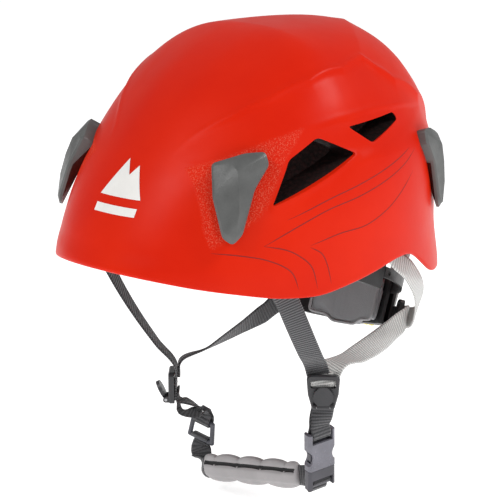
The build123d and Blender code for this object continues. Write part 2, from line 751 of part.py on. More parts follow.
def make_lever(rest):
    """The round-ended cam lever, turned to its rest angle about its pin."""
    height, depth = LEVER_PIVOT
    disc = Pos(0, 6.8, 0) * Cylinder(LEVER_DISC_RADIUS, 2.4)
    neck = Pos(0, 2.5, 0) * Box(8.2, 5.0, 2.4)
    barrel = Rot(Y=90) * Cylinder(1.6, 8.2)
    lever = disc + neck + barrel
    lever -= Rot(Y=90) * Cylinder(LEVER_PIN_RADIUS + RUNNING_PLAY, 20)
    return Pos(0, height, depth) * Rot(X=rest) * lever


def make_lever_pin():
    """The pin through a divider's ears."""
    height, depth = LEVER_PIVOT
    return Pos(0, height, depth) * Rot(Y=90) * Cylinder(LEVER_PIN_RADIUS, 13.4)


def in_divider(left, across, up, out):
    """A point given in a divider's frame."""
    plane = divider_plane(left)
    return plane.origin + plane.x_dir * across + plane.y_dir * up + plane.z_dir * out


# ---- buckle ----

def buckle_plane():
    """The buckle's frame: x across, z up towards the divider and y inwards."""
    up = Vector(*BUCKLE_UP).normalized()
    across = Vector(*BUCKLE_ACROSS)
    across = (across - up * across.dot(up)).normalized()
    return Plane(origin=BUCKLE_MOUTH, x_dir=across, z_dir=up)


def soft_box(wide, deep, high, low, corner):
    """A box standing on a height, with rounded upright edges."""
    return extrude(Pos(0, 0, low) * RectangleRounded(wide, deep, corner), amount=high)


def make_socket():
    """The female half: a flat case with side windows and a bar for the strap."""
    body = soft_box(BUCKLE_WIDTH, BUCKLE_WALL, SOCKET_LENGTH, 0, 2.2)
    body -= Pos(0, 0, 9.5) * Box(17.6, 4.4, 21.0)
    for side in (-1, 1):
        body -= Pos(side * (BUCKLE_WIDTH / 2.0 + 3.4), 0, 9.5) * Rot(X=90) * Cylinder(6.4, 20)
    body -= Pos(0, 0, SOCKET_LENGTH - 3.5) * Box(WEB_WIDTH + 1.0, 12, 7.2)
    bar = Pos(0, 0, SOCKET_LENGTH - 2.4) * Rot(Y=90) * Cylinder(BAR_RADIUS, BUCKLE_WIDTH - 3.0)
    return body + bar


def make_plug():
    """The male half: a base with a strap bar and the central tongue."""
    body = soft_box(BUCKLE_WIDTH, BUCKLE_WALL - 0.6, PLUG_LENGTH, -PLUG_LENGTH - BODY_PLAY, 2.2)
    body -= Pos(0, 0, -PLUG_LENGTH + 2.6) * Box(WEB_WIDTH + 1.0, 12, 7.6)
    body += Pos(0, 0, -PLUG_LENGTH + 1.8) * Rot(Y=90) * Cylinder(BAR_RADIUS, BUCKLE_WIDTH - 3.0)
    tongue = Pos(0, 0, 7.5) * Box(4.4, 3.2, 17.0)
    return body + tongue


def make_prong(side):
    """One springy arm of the plug, with the shoulder that the fingers squeeze."""
    outline = make_face(Polyline(*[(side * x, z) for x, z in PRONG_OUTLINE], close=True))
    face = Plane(origin=(0, 0, 0), x_dir=(1, 0, 0), z_dir=(0, -1, 0))
    return extrude(face * outline, amount=1.7, both=True)


def web_loop(plane, centre, outer, inner, width=WEB_WIDTH - 0.4):
    """Webbing wrapped round a bar that runs along the plane's x."""
    ring = Circle(outer) - Circle(inner)
    face = Plane(origin=(-width / 2.0, 0, 0), x_dir=(0, 1, 0), z_dir=(1, 0, 0))
    return plane * (Pos(*centre) * extrude(face * ring, amount=width))


# ---- chin ----

def ring_plane():
    """The frame of the ring beside the chin pad: x across it, z up and y to the rear."""
    return Plane(origin=RING_CENTRE, x_dir=(0.995, 0.1, 0), z_dir=(0.18, 0.0, 0.98))


def make_ring():
    """A bent-rod ring, wider at its lower bar."""
    half = RING_HEIGHT / 2.0 - RING_ROD
    top, bottom = 8.7, 10.2
    corners = [(-top, 0, half), (top, 0, half), (bottom, 0, -half), (-bottom, 0, -half)]
    ring = Part()
    for k in range(4):
        ring += cylinder_between(corners[k], corners[(k + 1) % 4], RING_ROD)
        ring += Pos(*corners[k]) * Sphere(RING_ROD)
    return ring_plane() * ring


def chin_frame():
    """The chin pad's frame: x along it to the left, z up."""
    left, right = Vector(*PAD_LEFT_END), Vector(*PAD_RIGHT_END)
    along = (left - right).normalized()
    return Plane(origin=(left + right) / 2.0, x_dir=along, z_dir=Vector(0, 0, 1) - along * along.Z)


def make_chin_pad():
    """The moulded sleeve round the chin webbing."""
    left, right = Vector(*PAD_LEFT_END), Vector(*PAD_RIGHT_END)
    length = (left - right).length
    body = Box(length, CHIN_PAD_WALL, CHIN_PAD_HEIGHT)
    body = fillet(body.edges().filter_by(Axis.X), 3.5)
    body -= Box(length + 2, WEB_WALL + 1.0, WEB_WIDTH + 1.0)
    return chin_frame() * body


# ---- straps ----

def make_front_strap(left):
    """The webbing from a front anchor down to a divider."""
    slot, across = anchor_slot(FRONT_ANCHOR)
    side = 1 if left else -1
    end = in_divider(left, -2.0 * side, 3.0, -3.1)
    near = in_divider(left, -4.0 * side, 12.0, -3.4)
    plane = divider_plane(left)
    turn = plane.x_dir if left else plane.x_dir * -1
    top = Vector(side * slot.X, slot.Y, slot.Z)
    first = Vector(side * across.X, across.Y, 0)
    down = Vector(0, 0, 1)
    stations = [(top + down * 4.5, first), (top - down * 5.5, first), (top - down * 7.0, first)]
    for share in (0.2, 0.4, 0.6, 0.8):
        point = (top - down * 7) * (1 - share) + near * share
        bow = math.sin(math.pi * share) * 3.0
        point = point + Vector(side * bow, -bow, 0)
        stations.append((point, first * (1 - share) + turn * share))
    stations += [(near, turn), (end, turn)]
    return ribbon([(tuple(p), tuple(a)) for p, a in stations])


def guide_point(side, behind, ahead=0.0):
    """A point behind the middle of a strap guide, or that many degrees ahead of it."""
    angle = math.radians(side * (GUIDE_ANGLE + ahead))
    radius = GUIDE_RADIUS + behind
    return (LOOP * Pos(radius * math.sin(angle), radius * math.cos(angle), GUIDE_HEIGHT)).position


def make_rear_strap_upper(left):
    """The webbing from a rear anchor to the cradle's guide."""
    slot, across = anchor_slot(REAR_ANCHOR)
    side = 1 if left else -1
    top = Vector(side * slot.X, slot.Y, slot.Z)
    first = Vector(side * across.X, across.Y, 0)
    at_guide = LOOP_DOWN * -1
    down = Vector(0, 0, 1)
    guide = guide_point(side, GUIDE_WALL / 2.0 + 3.5)
    ahead = guide_point(side, GUIDE_WALL / 2.0 + 5.4, 6.5)
    bow = guide_point(side, GUIDE_WALL) - guide_point(side, 0.0)
    stations = [(top + down * 4.5, first), (top - down * 5.5, first), (top - down * 10.0, first)]
    for share in (0.25, 0.5, 0.75, 1.0):
        point = (top - down * 10) * (1 - share) + ahead * share
        point = point + (bow + Vector(side * GUIDE_WALL, 0, 0)) * (2.2 * math.sin(math.pi * share))
        stations.append((point, first * (1 - share) + at_guide * share))
    stations.append((guide, at_guide))
    return ribbon([(tuple(p), tuple(a)) for p, a in stations])


def make_rear_strap(left):
    """The webbing from the cradle's guide down to a divider."""
    side = 1 if left else -1
    guide = guide_point(side, GUIDE_WALL / 2.0 + 1.1)
    end = in_divider(left, 2.0 * side, 3.0, -4.9)
    near = in_divider(left, 5.0 * side, 12.0, -5.4)
    plane = divider_plane(left)
    turn = plane.x_dir if left else plane.x_dir * -1
    ahead = guide_point(side, GUIDE_WALL / 2.0 + 1.9, 6.5)
    outward = guide_point(side, 4.0) - guide_point(side, 0.0)
    at_guide = LOOP_DOWN
    stations = [(guide, at_guide)]
    for share in (0.0, 0.25, 0.5, 0.75):
        point = ahead * (1 - share) + near * share + outward * math.sin(math.pi * share)
        stations.append((point, at_guide * (1 - share) + turn * share))
    stations += [(near, turn), (end, turn)]
    return ribbon([(tuple(p), tuple(a)) for p, a in stations])


def make_lower_strap_left():
    """The doubled webbing from the left divider round the socket's bar."""
    plane = buckle_plane()
    bar = (0, 0, SOCKET_LENGTH - 2.4)
    loop = web_loop(plane, bar, BAR_RADIUS + 0.3 + 2 * WEB_WALL, BAR_RADIUS + 0.3)
    low = plane.origin + plane.z_dir * (SOCKET_LENGTH - 2.4 + BAR_RADIUS + 0.3 + WEB_WALL)
    lower = low + plane.z_dir * 4.0
    top = in_divider(True, 0.0, -5.0, -4.3)
    upper = in_divider(True, 0.0, -13.0, -4.6)
    turn = divider_plane(True).x_dir
    middle = (upper + lower) / 2.0
    stations = [(top, turn), (upper, turn), (middle, (turn + plane.x_dir) / 2.0), (lower, plane.x_dir),
                (low, plane.x_dir)]
    strap = ribbon([(tuple(p), tuple(a)) for p, a in stations], WEB_WIDTH - 0.4, 2 * WEB_WALL)
    return strap + loop


def make_lower_strap_right():
    """The doubled webbing from the right divider round the ring's upper bar."""
    plane = ring_plane()
    height = RING_HEIGHT / 2.0 - RING_ROD
    loop = web_loop(plane, (0, 0, height), RING_ROD + 0.3 + 2 * WEB_WALL, RING_ROD + 0.3, WEB_WIDTH - 1.0)
    low = plane.origin + plane.z_dir * (height + RING_ROD + 0.3 + WEB_WALL)
    lower = low + plane.z_dir * 4.0
    top = in_divider(False, 0.0, -5.0, -4.3)
    upper = in_divider(False, 0.0, -13.0, -4.6)
    turn = divider_plane(False).x_dir
    middle = (upper + lower) / 2.0 + Vector(-1.0, -1.5, -1.0)
    stations = [(top, turn), (upper, turn), (middle, (turn + plane.x_dir) / 2.0), (lower, plane.x_dir),
                (low, plane.x_dir)]
    strap = ribbon([(tuple(p), tuple(a)) for p, a in stations], WEB_WIDTH - 1.0, 2 * WEB_WALL)
    return strap + loop


def make_chin_webbing():
    """The webbing from the plug's bar through the chin pad to the ring's lower bar."""
    buckle, ring, pad = buckle_plane(), ring_plane(), chin_frame()
    width = WEB_WIDTH - 1.0
    bar = (0, 0, -PLUG_LENGTH + 1.8)
    left_loop = web_loop(buckle, bar, BAR_RADIUS + 0.3 + WEB_WALL, BAR_RADIUS + 0.3, width)
    height = RING_HEIGHT / 2.0 - RING_ROD
    right_loop = web_loop(ring, (0, 0, -height), RING_ROD + 0.3 + WEB_WALL, RING_ROD + 0.3, width)
    left = buckle.origin + buckle.z_dir * (-PLUG_LENGTH + 1.8 - BAR_RADIUS - 0.3 - WEB_WALL / 2.0)
    right = ring.origin - ring.z_dir * (height + RING_ROD + 1.5 + WEB_WALL / 2.0)
    upright = pad.z_dir
    half = (Vector(*PAD_LEFT_END) - Vector(*PAD_RIGHT_END)).length / 2.0 + 1.0
    near = pad.origin + pad.x_dir * half
    far = pad.origin - pad.x_dir * half
    drop = Vector(-2.5, 0.6, -2.8)
    left_part = [
        (pad.origin, upright),
        (near + pad.x_dir * 1.5, upright),
        (near + pad.x_dir * 5.0, upright + buckle.x_dir * 0.4),
        (near + pad.x_dir * 10.0 + Vector(0, 0, -1.5), upright * 0.5 + buckle.x_dir),
        (left + drop, buckle.x_dir),
        (left, buckle.x_dir),
    ]
    right_part = [
        (right, ring.x_dir),
        (right - ring.z_dir * 2.5, ring.x_dir),
        ((right * 2 + far) / 3.0 + Vector(0, 0, -1.0), ring.x_dir * 2 - upright * 0.6),
        ((right + far * 2) / 3.0 - pad.x_dir * 1.5, ring.x_dir * 0.6 - upright * 1.2),
        (far - pad.x_dir * 2.5, upright * -1),
        (pad.origin, upright * -1),
    ]
    webbing = left_loop + right_loop
    for stations in (left_part, right_part):
        webbing += ribbon([(tuple(place), tuple(across)) for place, across in stations], width)
    return webbing


PARTS = {}


def add(name, shape):
    """Keeps one node, as a plain solid or a compound of its separate solids."""
    solids = shape.solids()
    PARTS[name] = solids[0] if len(solids) == 1 else Compound(children=solids)


def add_pair(name, left):
    """Keeps a left-hand node and its mirror image."""
    add(name + "_left", left)
    add(name + "_right", mirror(left, about=Plane.YZ))


def build_root():
    """The shell and what is fixed to it."""
    vents = [through_sides(VENT_FRONT, VENT_CORNER), through_sides(VENT_REAR, VENT_CORNER)]
    add("outer_shell", make_shell(above_rim(), vents))
    add("foam_liner", make_foam(vents))
    add("crown_pads", make_crown_pads())
    add_pair("headlamp_clip_front", make_clip(False))
    add_pair("headlamp_clip_rear", make_clip(True))
    add("clip_studs", make_studs())
    add_pair("strap_anchor_front", make_anchor(FRONT_ANCHOR))
    add_pair("strap_anchor_rear", make_anchor(REAR_ANCHOR))
    rivets = both_sides(make_rivet(FRONT_ANCHOR)) + both_sides(make_rivet(REAR_ANCHOR))
    add("anchor_rivets", Compound(children=list(rivets)))
    add("headband", make_headband())
    add("brow_pad", make_brow_pad())
    add("headband_hangers", make_hangers())
    add("rear_bracket_left", make_rear_bracket(1))
    add("rear_bracket_right", make_rear_bracket(-1))
    add("arm_pivot_pins", make_arm_pins())


def build_cradle():
    """The nape cradle, its adjuster and the two toothed bands."""
    add("cradle_arm_left", LOOP * make_arm(1))
    add("cradle_arm_right", LOOP * make_arm(-1))
    add("arm_pegs", make_arm_pegs())
    add("nape_carrier", LOOP * make_carrier())
    add("carrier_cover", LOOP * make_cover())
    add("nape_pad", LOOP * make_nape_pad())
    add("adjuster_housing", LOOP * make_housing())
    add("strap_guide_left", LOOP * make_strap_guide(1))
    add("strap_guide_right", LOOP * make_strap_guide(-1))
    add("adjuster_dial", LOOP * make_dial())
    add("dial_pinion", LOOP * make_pinion_hub(make_pinion()))
    add("dial_screw", LOOP * make_dial_screw())
    add("rack_band_left", LOOP * make_rack(1))
    add("rack_band_right", LOOP * make_rack(-1))


def build_harness():
    """The webbing, dividers, buckle, ring and chin pad."""
    divider, pin = make_divider(), make_lever_pin()
    left, right = divider_plane(True), divider_plane(False)
    add("divider_left", left * divider)
    add("divider_right", right * divider)
    add("divider_lever_left", left * make_lever(LEVER_REST_LEFT))
    add("divider_lever_right", right * make_lever(LEVER_REST_RIGHT))
    add("lever_pins", Compound(children=[left * pin, right * pin]))
    add("front_strap_left", make_front_strap(True))
    add("front_strap_right", make_front_strap(False))
    add("rear_strap_left", make_rear_strap(True))
    add("rear_strap_right", make_rear_strap(False))
    add("rear_strap_upper_left", make_rear_strap_upper(True))
    add("rear_strap_upper_right", make_rear_strap_upper(False))
    plane = buckle_plane()
    add("buckle_socket", plane * make_socket())
    add("buckle_plug", plane * make_plug())
    add("plug_prong_front", plane * make_prong(-1))
    add("plug_prong_rear", plane * make_prong(1))
    add("lower_strap_left", make_lower_strap_left())
    add("lower_strap_right", make_lower_strap_right())
    add("chin_ring", make_ring())
    add("chin_pad", make_chin_pad())
    add("chin_webbing", make_chin_webbing())


if __name__ == "__main__":
    os.makedirs("parts", exist_ok=True)
    build_root()
    build_cradle()
    build_harness()
    for name, shape in PARTS.items():
        export_step(shape, os.path.join("parts", name + ".step"))
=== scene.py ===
"""A climbing helmet: detailed shell, clips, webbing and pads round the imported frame."""
import math

import bmesh
import bpy
import numpy as np
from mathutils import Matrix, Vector


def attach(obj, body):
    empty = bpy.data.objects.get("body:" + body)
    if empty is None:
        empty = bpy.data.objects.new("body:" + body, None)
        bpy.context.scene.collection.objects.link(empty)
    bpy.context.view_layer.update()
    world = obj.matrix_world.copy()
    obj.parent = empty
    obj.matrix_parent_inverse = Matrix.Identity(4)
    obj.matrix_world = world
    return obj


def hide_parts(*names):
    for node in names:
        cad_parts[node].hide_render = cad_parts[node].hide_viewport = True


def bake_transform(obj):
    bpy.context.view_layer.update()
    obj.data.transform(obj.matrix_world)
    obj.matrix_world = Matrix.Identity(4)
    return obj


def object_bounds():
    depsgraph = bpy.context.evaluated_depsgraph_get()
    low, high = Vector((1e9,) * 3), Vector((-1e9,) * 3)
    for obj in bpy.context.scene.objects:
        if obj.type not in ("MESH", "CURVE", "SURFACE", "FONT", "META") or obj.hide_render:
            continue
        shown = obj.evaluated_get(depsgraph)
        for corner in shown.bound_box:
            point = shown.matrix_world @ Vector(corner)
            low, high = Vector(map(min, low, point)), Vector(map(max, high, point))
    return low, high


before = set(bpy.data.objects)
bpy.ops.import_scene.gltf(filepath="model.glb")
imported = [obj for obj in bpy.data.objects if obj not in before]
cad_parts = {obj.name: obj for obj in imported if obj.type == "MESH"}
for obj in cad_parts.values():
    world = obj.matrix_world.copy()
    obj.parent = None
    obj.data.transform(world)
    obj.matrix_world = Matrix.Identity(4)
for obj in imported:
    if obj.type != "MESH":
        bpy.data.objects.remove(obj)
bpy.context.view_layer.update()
MM = 0.001

# The shell's formula, in millimetres: squircle profiles to the side, front and rear.
SIDE_REACH, SIDE_POWER = 108.0, 2.65
FRONT_REACH, FRONT_POWER, BRIM_FLARE = 136.0, 1.5, 3.5
REAR_REACH, REAR_POWER, TAIL_FLARE = 134.0, 3.6, 6.5
CROWN_HEIGHT = 137.0
PLAN_POWER = 2.05
SHELL_WALL = 3.0
# How far the moulded features rise or fall, and the most that the outer skin may sink.
BAND_DROP, BAND_FALL, BAND_BEAD = 3.0, 4.5, 0.7
BROW_SLIM, CROWN_SLIM, RIDGE_RISE = 3.0, 1.2, 2.6
CHANNEL_DEPTH, CHANNEL_BEAD, VENT_LIP = 2.6, 0.6, 1.0
RELIEF_LIMIT = 2.75
AROUND_STEPS = 480
UP_STEPS = 170
INNER_SHARE = 5

# The rim in side view: (y, z) from the brim to the nape.
RIM_LINE = [(-150, 2), (-141, 0), (-110, -8), (-70, -16), (-40, -18), (0, -10.5), (28, -4.5),
            (47, -4), (64, -15), (82, -26), (110, -29), (150, -31)]

# Side view outlines, (y, z).
VENT_FRONT = [(-67, 39), (-51, 66), (-30, 78), (-5, 66)]
VENT_REAR = [(-6, 82), (42, 85), (45, 80), (12, 70)]
CHANNEL_TOP = [(-104, 60), (-92, 63), (-76, 68), (-62, 76), (-40, 84), (-13, 88), (25, 90), (55, 88),
               (86, 84), (120, 80)]
CHANNEL_FOOT = [(-104, 14), (-91, 21), (-76, 30), (-58, 36), (-30, 50), (-4, 59), (21, 66), (54, 72),
                (86, 80), (120, 80)]
PATCH = [(-96, 61), (-56, 78), (-36, 84), (-53, 66), (-70, 38), (-78, 30), (-101, 15), (-102, 24)]
# The raised crown band in plan view, (y, half-width), and its transverse ridge.
BAND_EDGE = [(-110, 24), (-87, 36), (-67, 52), (-46, 65), (-20, 74), (8, 74), (33, 67), (42, 72), (57, 75),
             (86, 69), (120, 50)]
BAND_FADE = (-108.0, -66.0)
RIDGE_CORNER = (33.0, 67.0)
RIDGE_APEX = 84.0
# The painted mark on the brow, (x, z): two peaks over a bar.
MARK_PEAKS = [(-13, 41), (0, 63), (6, 54), (11, 60), (23, 41)]
MARK_BAR = [(-13, 31), (23, 31), (23, 36), (-13, 36)]
# Thin lines along each side, (y, z), where the grooves' shade is painted.
GROOVES = [
    [(-75, 16), (-53, 27), (-32, 35), (-8, 40), (17, 46), (40, 53), (56, 60)],
    [(-60, 31), (-32, 41), (-8, 47), (17, 53), (36, 58), (49, 62)],
    [(-47, 14), (-25, 19), (-4, 21), (15, 27), (31, 35), (50, 47)],
    [(-75, 16), (-63, 13), (-54, 8), (-46, 0), (-42, -14)],
    [(-47, 13), (-39, 8), (-35, 0), (-32, -12)],
    [(-102, 13), (-88, 11), (-73, 7), (-60, -1), (-55, -13)],
]


# ---- small helpers ----

def colour(red, green, blue):
    """A linear colour from 0 to 255 display values."""
    parts = []
    for value in (red, green, blue):
        share = value / 255.0
        parts.append(share / 12.92 if share <= 0.04045 else ((share + 0.055) / 1.055) ** 2.4)
    return (*parts, 1.0)


def smooth(value):
    """0 below 0, 1 above 1 and a smooth step between."""
    value = np.clip(value, 0.0, 1.0)
    return value * value * (3.0 - 2.0 * value)


def link_object(name, data):
    """A new object in the scene."""
    thing = bpy.data.objects.new(name, data)
    bpy.context.scene.collection.objects.link(thing)
    return thing


def make_piece(name, points, faces, material, body="shell"):
    """A smooth mesh piece from points in metres, riding on a body."""
    mesh = bpy.data.meshes.new(name)
    mesh.from_pydata([tuple(p) for p in points], [], [tuple(f) for f in faces])
    mesh.validate()
    mesh.shade_smooth()
    mesh.materials.append(material)
    piece = link_object(name, mesh)
    if body:
        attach(piece, body)
    return piece


def apply_modifiers(piece):
    """Turn a piece's modifiers into its mesh."""
    bpy.context.view_layer.update()
    seen = piece.evaluated_get(bpy.context.evaluated_depsgraph_get())
    mesh = bpy.data.meshes.new_from_object(seen)
    piece.modifiers.clear()
    piece.data = mesh


def face_out(piece):
    """Turn a closed piece's faces outwards."""
    shape = bmesh.new()
    shape.from_mesh(piece.data)
    bmesh.ops.recalc_face_normals(shape, faces=shape.faces)
    shape.to_mesh(piece.data)
    shape.free()


def store(mesh, name, values):
    """A number on each point of a mesh, for its material to read."""
    layer = mesh.attributes.new(name, "FLOAT", "POINT")
    layer.data.foreach_set("value", np.asarray(values, dtype=np.float32))


# ---- materials ----

# Metres from one rib or yarn of the webbing to the next.
RIB_PITCH, YARN_PITCH = 0.0021, 0.0011


def new_material(name, base, roughness, specular=0.5, sheen=0.0, metallic=0.0):
    """A principled material and its node tree, with its constant values set on the shader."""
    material = bpy.data.materials.new(name)
    material.use_nodes = True
    tree = material.node_tree
    shader = tree.nodes["Principled BSDF"]
    shader.inputs["Base Color"].default_value = base
    shader.inputs["Roughness"].default_value = roughness
    shader.inputs["Specular IOR Level"].default_value = specular
    shader.inputs["Sheen Weight"].default_value = sheen
    shader.inputs["Metallic"].default_value = metallic
    return material, tree, shader


def noise(tree, scale, detail=4.0):
    """A noise texture in object space; its scale is in cells per metre."""
    place = tree.nodes.new("ShaderNodeTexCoord")
    cells = tree.nodes.new("ShaderNodeTexNoise")
    cells.inputs["Scale"].default_value = scale
    cells.inputs["Detail"].default_value = detail
    cells.inputs["Roughness"].default_value = 0.55
    tree.links.new(place.outputs["Object"], cells.inputs["Vector"])
    return cells.outputs["Fac"]


def ramp(tree, source, low, high, start=0.0, end=1.0):
    """Colours or values between two ends of a source."""
    node = tree.nodes.new("ShaderNodeValToRGB")
    node.color_ramp.elements[0].position = start
    node.color_ramp.elements[1].position = end
    node.color_ramp.elements[0].color = low
    node.color_ramp.elements[1].color = high
    tree.links.new(source, node.inputs["Fac"])
    return node.outputs["Color"]


def maths(tree, action, first, second=0.0):
    """One arithmetic node; each side is a socket or a number."""
    node = tree.nodes.new("ShaderNodeMath")
    node.operation = action
    for socket, value in zip(node.inputs, (first, second)):
        if isinstance(value, (int, float)):
            socket.default_value = value
        else:
            tree.links.new(value, socket)
    return node.outputs["Value"]


def plus(tree, first, second):
    """The sum of two sockets or numbers."""
    return maths(tree, "ADD", first, second)


def times(tree, first, second):
    """The product of two sockets or numbers."""
    return maths(tree, "MULTIPLY", first, second)


def feed(tree, shader, name, source):
    """Join a source to one of the shader's inputs."""
    tree.links.new(source, shader.inputs[name])


def read(tree, name):
    """The number stored on the mesh's points."""
    node = tree.nodes.new("ShaderNodeAttribute")
    node.attribute_name = name
    return node.outputs["Fac"]


def bump(tree, shader, height, distance, strength=1.0):
    """Surface relief from a height source, in metres."""
    node = tree.nodes.new("ShaderNodeBump")
    node.inputs["Distance"].default_value = distance
    node.inputs["Strength"].default_value = strength
    tree.links.new(height, node.inputs["Height"])
    feed(tree, shader, "Normal", node.outputs["Normal"])


def grey(value):
    """A neutral ramp end."""
    return (value, value, value, 1.0)


def shell_material():
    """Glossy red moulding, grained round the front clips, with painted glints as lighter flecks in the grain.
    """
    material, tree, shader = new_material("shell_red", colour(208, 27, 3), 0.36, specular=0.09)
    tone = ramp(tree, noise(tree, 14.0), colour(210, 30, 6), colour(220, 38, 9), 0.3, 0.7)
    grain = noise(tree, 1300.0, detail=2.0)
    mask = read(tree, "grain")
    # Painted glints: lighter salmon flecks on the peaks of the grain round the front clips, mixed into the
    # base colour.
    grain_glints = times(tree, ramp(tree, grain, grey(0.0), grey(1.0), 0.5, 0.64), mask)
    mix = tree.nodes.new("ShaderNodeMix")
    mix.data_type = "RGBA"
    tree.links.new(times(tree, grain_glints, 0.26), mix.inputs["Factor"])
    tree.links.new(tone, mix.inputs["A"])
    mix.inputs["B"].default_value = colour(255, 150, 120)
    feed(tree, shader, "Base Color", mix.outputs["Result"])
    polish = ramp(tree, noise(tree, 60.0), grey(0.33), grey(0.39), 0.3, 0.7)
    feed(tree, shader, "Roughness", plus(tree, times(tree, mask, 0.22), polish))
    skin = times(tree, noise(tree, 260.0, detail=2.0), 0.12)
    bump(tree, shader, plus(tree, skin, times(tree, grain, mask)), 0.0004, 0.7)
    return material


def moulded(name, base, roughness, grain=900.0, depth=0.00012, shift=0.18):
    """Moulded plastic with a fine spark-eroded grain and a little wear in its tone."""
    material, tree, shader = new_material(name, base, roughness)
    low, high = ((*(c * tone for c in base[:3]), 1.0) for tone in (1.0 - shift, 1.0 + shift))
    feed(tree, shader, "Base Color", ramp(tree, noise(tree, 70.0), low, high, 0.3, 0.7))
    polish = ramp(tree, noise(tree, 220.0), grey(roughness - 0.05), grey(roughness + 0.07), 0.3, 0.7)
    feed(tree, shader, "Roughness", polish)
    bump(tree, shader, noise(tree, grain, detail=2.0), depth)
    return material


def webbing_material(name, dark, light):
    """Ribbed webbing: cross ribs along its length and fine yarns across it, with painted shade in their
    hollows and painted highlight on their crests.
    """
    material, tree, shader = new_material(name, light, 0.72, specular=0.35, sheen=0.35)
    along = read(tree, "along")
    across = read(tree, "across")
    ribs = maths(tree, "SINE", times(tree, along, 2.0 * math.pi / RIB_PITCH))
    yarns = maths(tree, "SINE", times(tree, across, 2.0 * math.pi / YARN_PITCH))
    height = plus(tree, ribs, times(tree, yarns, 0.35))
    height = plus(tree, height, times(tree, noise(tree, 1800.0, detail=2.0), 0.6))
    # Painted shade and highlight: the colour runs from the dark end in the rib and yarn hollows to the light
    # end on their crests.
    shade = plus(tree, times(tree, height, 0.28), 0.42)
    feed(tree, shader, "Base Color", ramp(tree, shade, dark, light, 0.05, 0.85))
    bump(tree, shader, height, 0.00022, 0.9)
    return material


def fabric_material(name, dark, light, pitch=0.0013):
    """Knitted mesh cloth: two crossed waves in object space, with fuzz, and painted shade in the knit's
    hollows with painted highlight on its crests.
    """
    material, tree, shader = new_material(name, light, 0.85, specular=0.25, sheen=0.4)
    place = tree.nodes.new("ShaderNodeTexCoord")
    split = tree.nodes.new("ShaderNodeSeparateXYZ")
    tree.links.new(place.outputs["Object"], split.inputs["Vector"])
    turn = 2.0 * math.pi / pitch
    waves = []
    for action in ("ADD", "SUBTRACT"):
        slant = maths(tree, action, split.outputs["X"], split.outputs["Z"])
        waves.append(maths(tree, "SINE", times(tree, slant, turn)))
    knit = times(tree, *waves)
    height = plus(tree, knit, times(tree, noise(tree, 900.0, detail=3.0), 0.8))
    # Painted shade and highlight: the colour runs from the dark end in the knit's hollows to the light end on
    # its crests.
    shade = plus(tree, times(tree, height, 0.25), 0.4)
    feed(tree, shader, "Base Color", ramp(tree, shade, dark, light, 0.1, 0.9))
    bump(tree, shader, height, 0.0003, 0.8)
    return material


def foam_material():
    """Moulded bead foam: rounded cells a few millimetres across, with painted shade in the crevices between
    them.
    """
    material, tree, shader = new_material("foam_black", colour(34, 20, 19), 0.8, specular=0.15)
    place = tree.nodes.new("ShaderNodeTexCoord")
    beads = tree.nodes.new("ShaderNodeTexVoronoi")
    beads.inputs["Scale"].default_value = 330.0
    tree.links.new(place.outputs["Object"], beads.inputs["Vector"])
    # Painted shade: the colour darkens from each bead's middle to the crevices at its edge.
    tone = ramp(tree, beads.outputs["Distance"], colour(42, 20, 19), colour(22, 12, 11), 0.1, 0.7)
    feed(tree, shader, "Base Color", tone)
    bump(tree, shader, times(tree, beads.outputs["Distance"], -1.0), 0.0006, 0.8)
    return material


def steel_material():
    """Plain turned steel."""
    material, tree, shader = new_material("steel", colour(170, 170, 172), 0.35, metallic=1.0)
    polish = ramp(tree, noise(tree, 500.0), grey(0.28), grey(0.45), 0.3, 0.7)
    feed(tree, shader, "Roughness", polish)
    bump(tree, shader, noise(tree, 1500.0), 0.00005)
    return material


SHELL = shell_material()
CLIP = moulded("clip_grey", colour(86, 87, 86), 0.38, grain=1500.0)
BLACK = moulded("plastic_black", colour(34, 34, 35), 0.48)
BAND = moulded("band_black", colour(30, 30, 31), 0.4)
ARM = moulded("arm_grey", colour(176, 176, 174), 0.45)
DIAL = moulded("dial_yellow", colour(240, 214, 24), 0.4, shift=0.06)
DIVIDER = moulded("divider_grey", colour(52, 52, 55), 0.34)
BUCKLE = moulded("buckle_grey", colour(112, 111, 120), 0.24, grain=600.0, depth=0.00006)
PLUG = moulded("plug_grey", colour(70, 69, 76), 0.32, grain=600.0, depth=0.00006)
RING = moulded("ring_black", colour(72, 73, 80), 0.28, grain=500.0, depth=0.00004)
CHIN = moulded("chin_rubber", colour(166, 163, 164), 0.5, grain=1200.0, shift=0.08)
# Painted shade: a near-black for the faces inside the chin pad's slot.
CHIN_SLOT_SHADE = moulded("chin_slot_shade", colour(22, 22, 23), 0.55)
WHITE = moulded("mark_white", colour(238, 236, 232), 0.5, shift=0.03)
# Painted shade for the moulded grooves: a darker red than the shell.
GROOVE_SHADE = moulded("groove_shade_red", colour(140, 12, 4), 0.7, shift=0.05)
WEB_DARK = webbing_material("webbing_dark", colour(34, 34, 36), colour(84, 84, 87))
WEB_LIGHT = webbing_material("webbing_light", colour(158, 158, 157), colour(236, 236, 233))
NAPE_CLOTH = fabric_material("nape_cloth", colour(128, 130, 133), colour(200, 202, 205))
CROWN_CLOTH = fabric_material("crown_cloth", colour(22, 22, 23), colour(58, 58, 60))
PIPING = fabric_material("piping", colour(150, 150, 152), colour(205, 205, 207), pitch=0.0009)
FOAM = foam_material()
STEEL = steel_material()


# ---- shell ----

def squircle(reach, share, power):
    """Half-width of a squircle profile at a share of its height."""
    share = np.clip(share, 0.0, 1.0)
    return reach * (1.0 - share ** power) ** (1.0 / power)


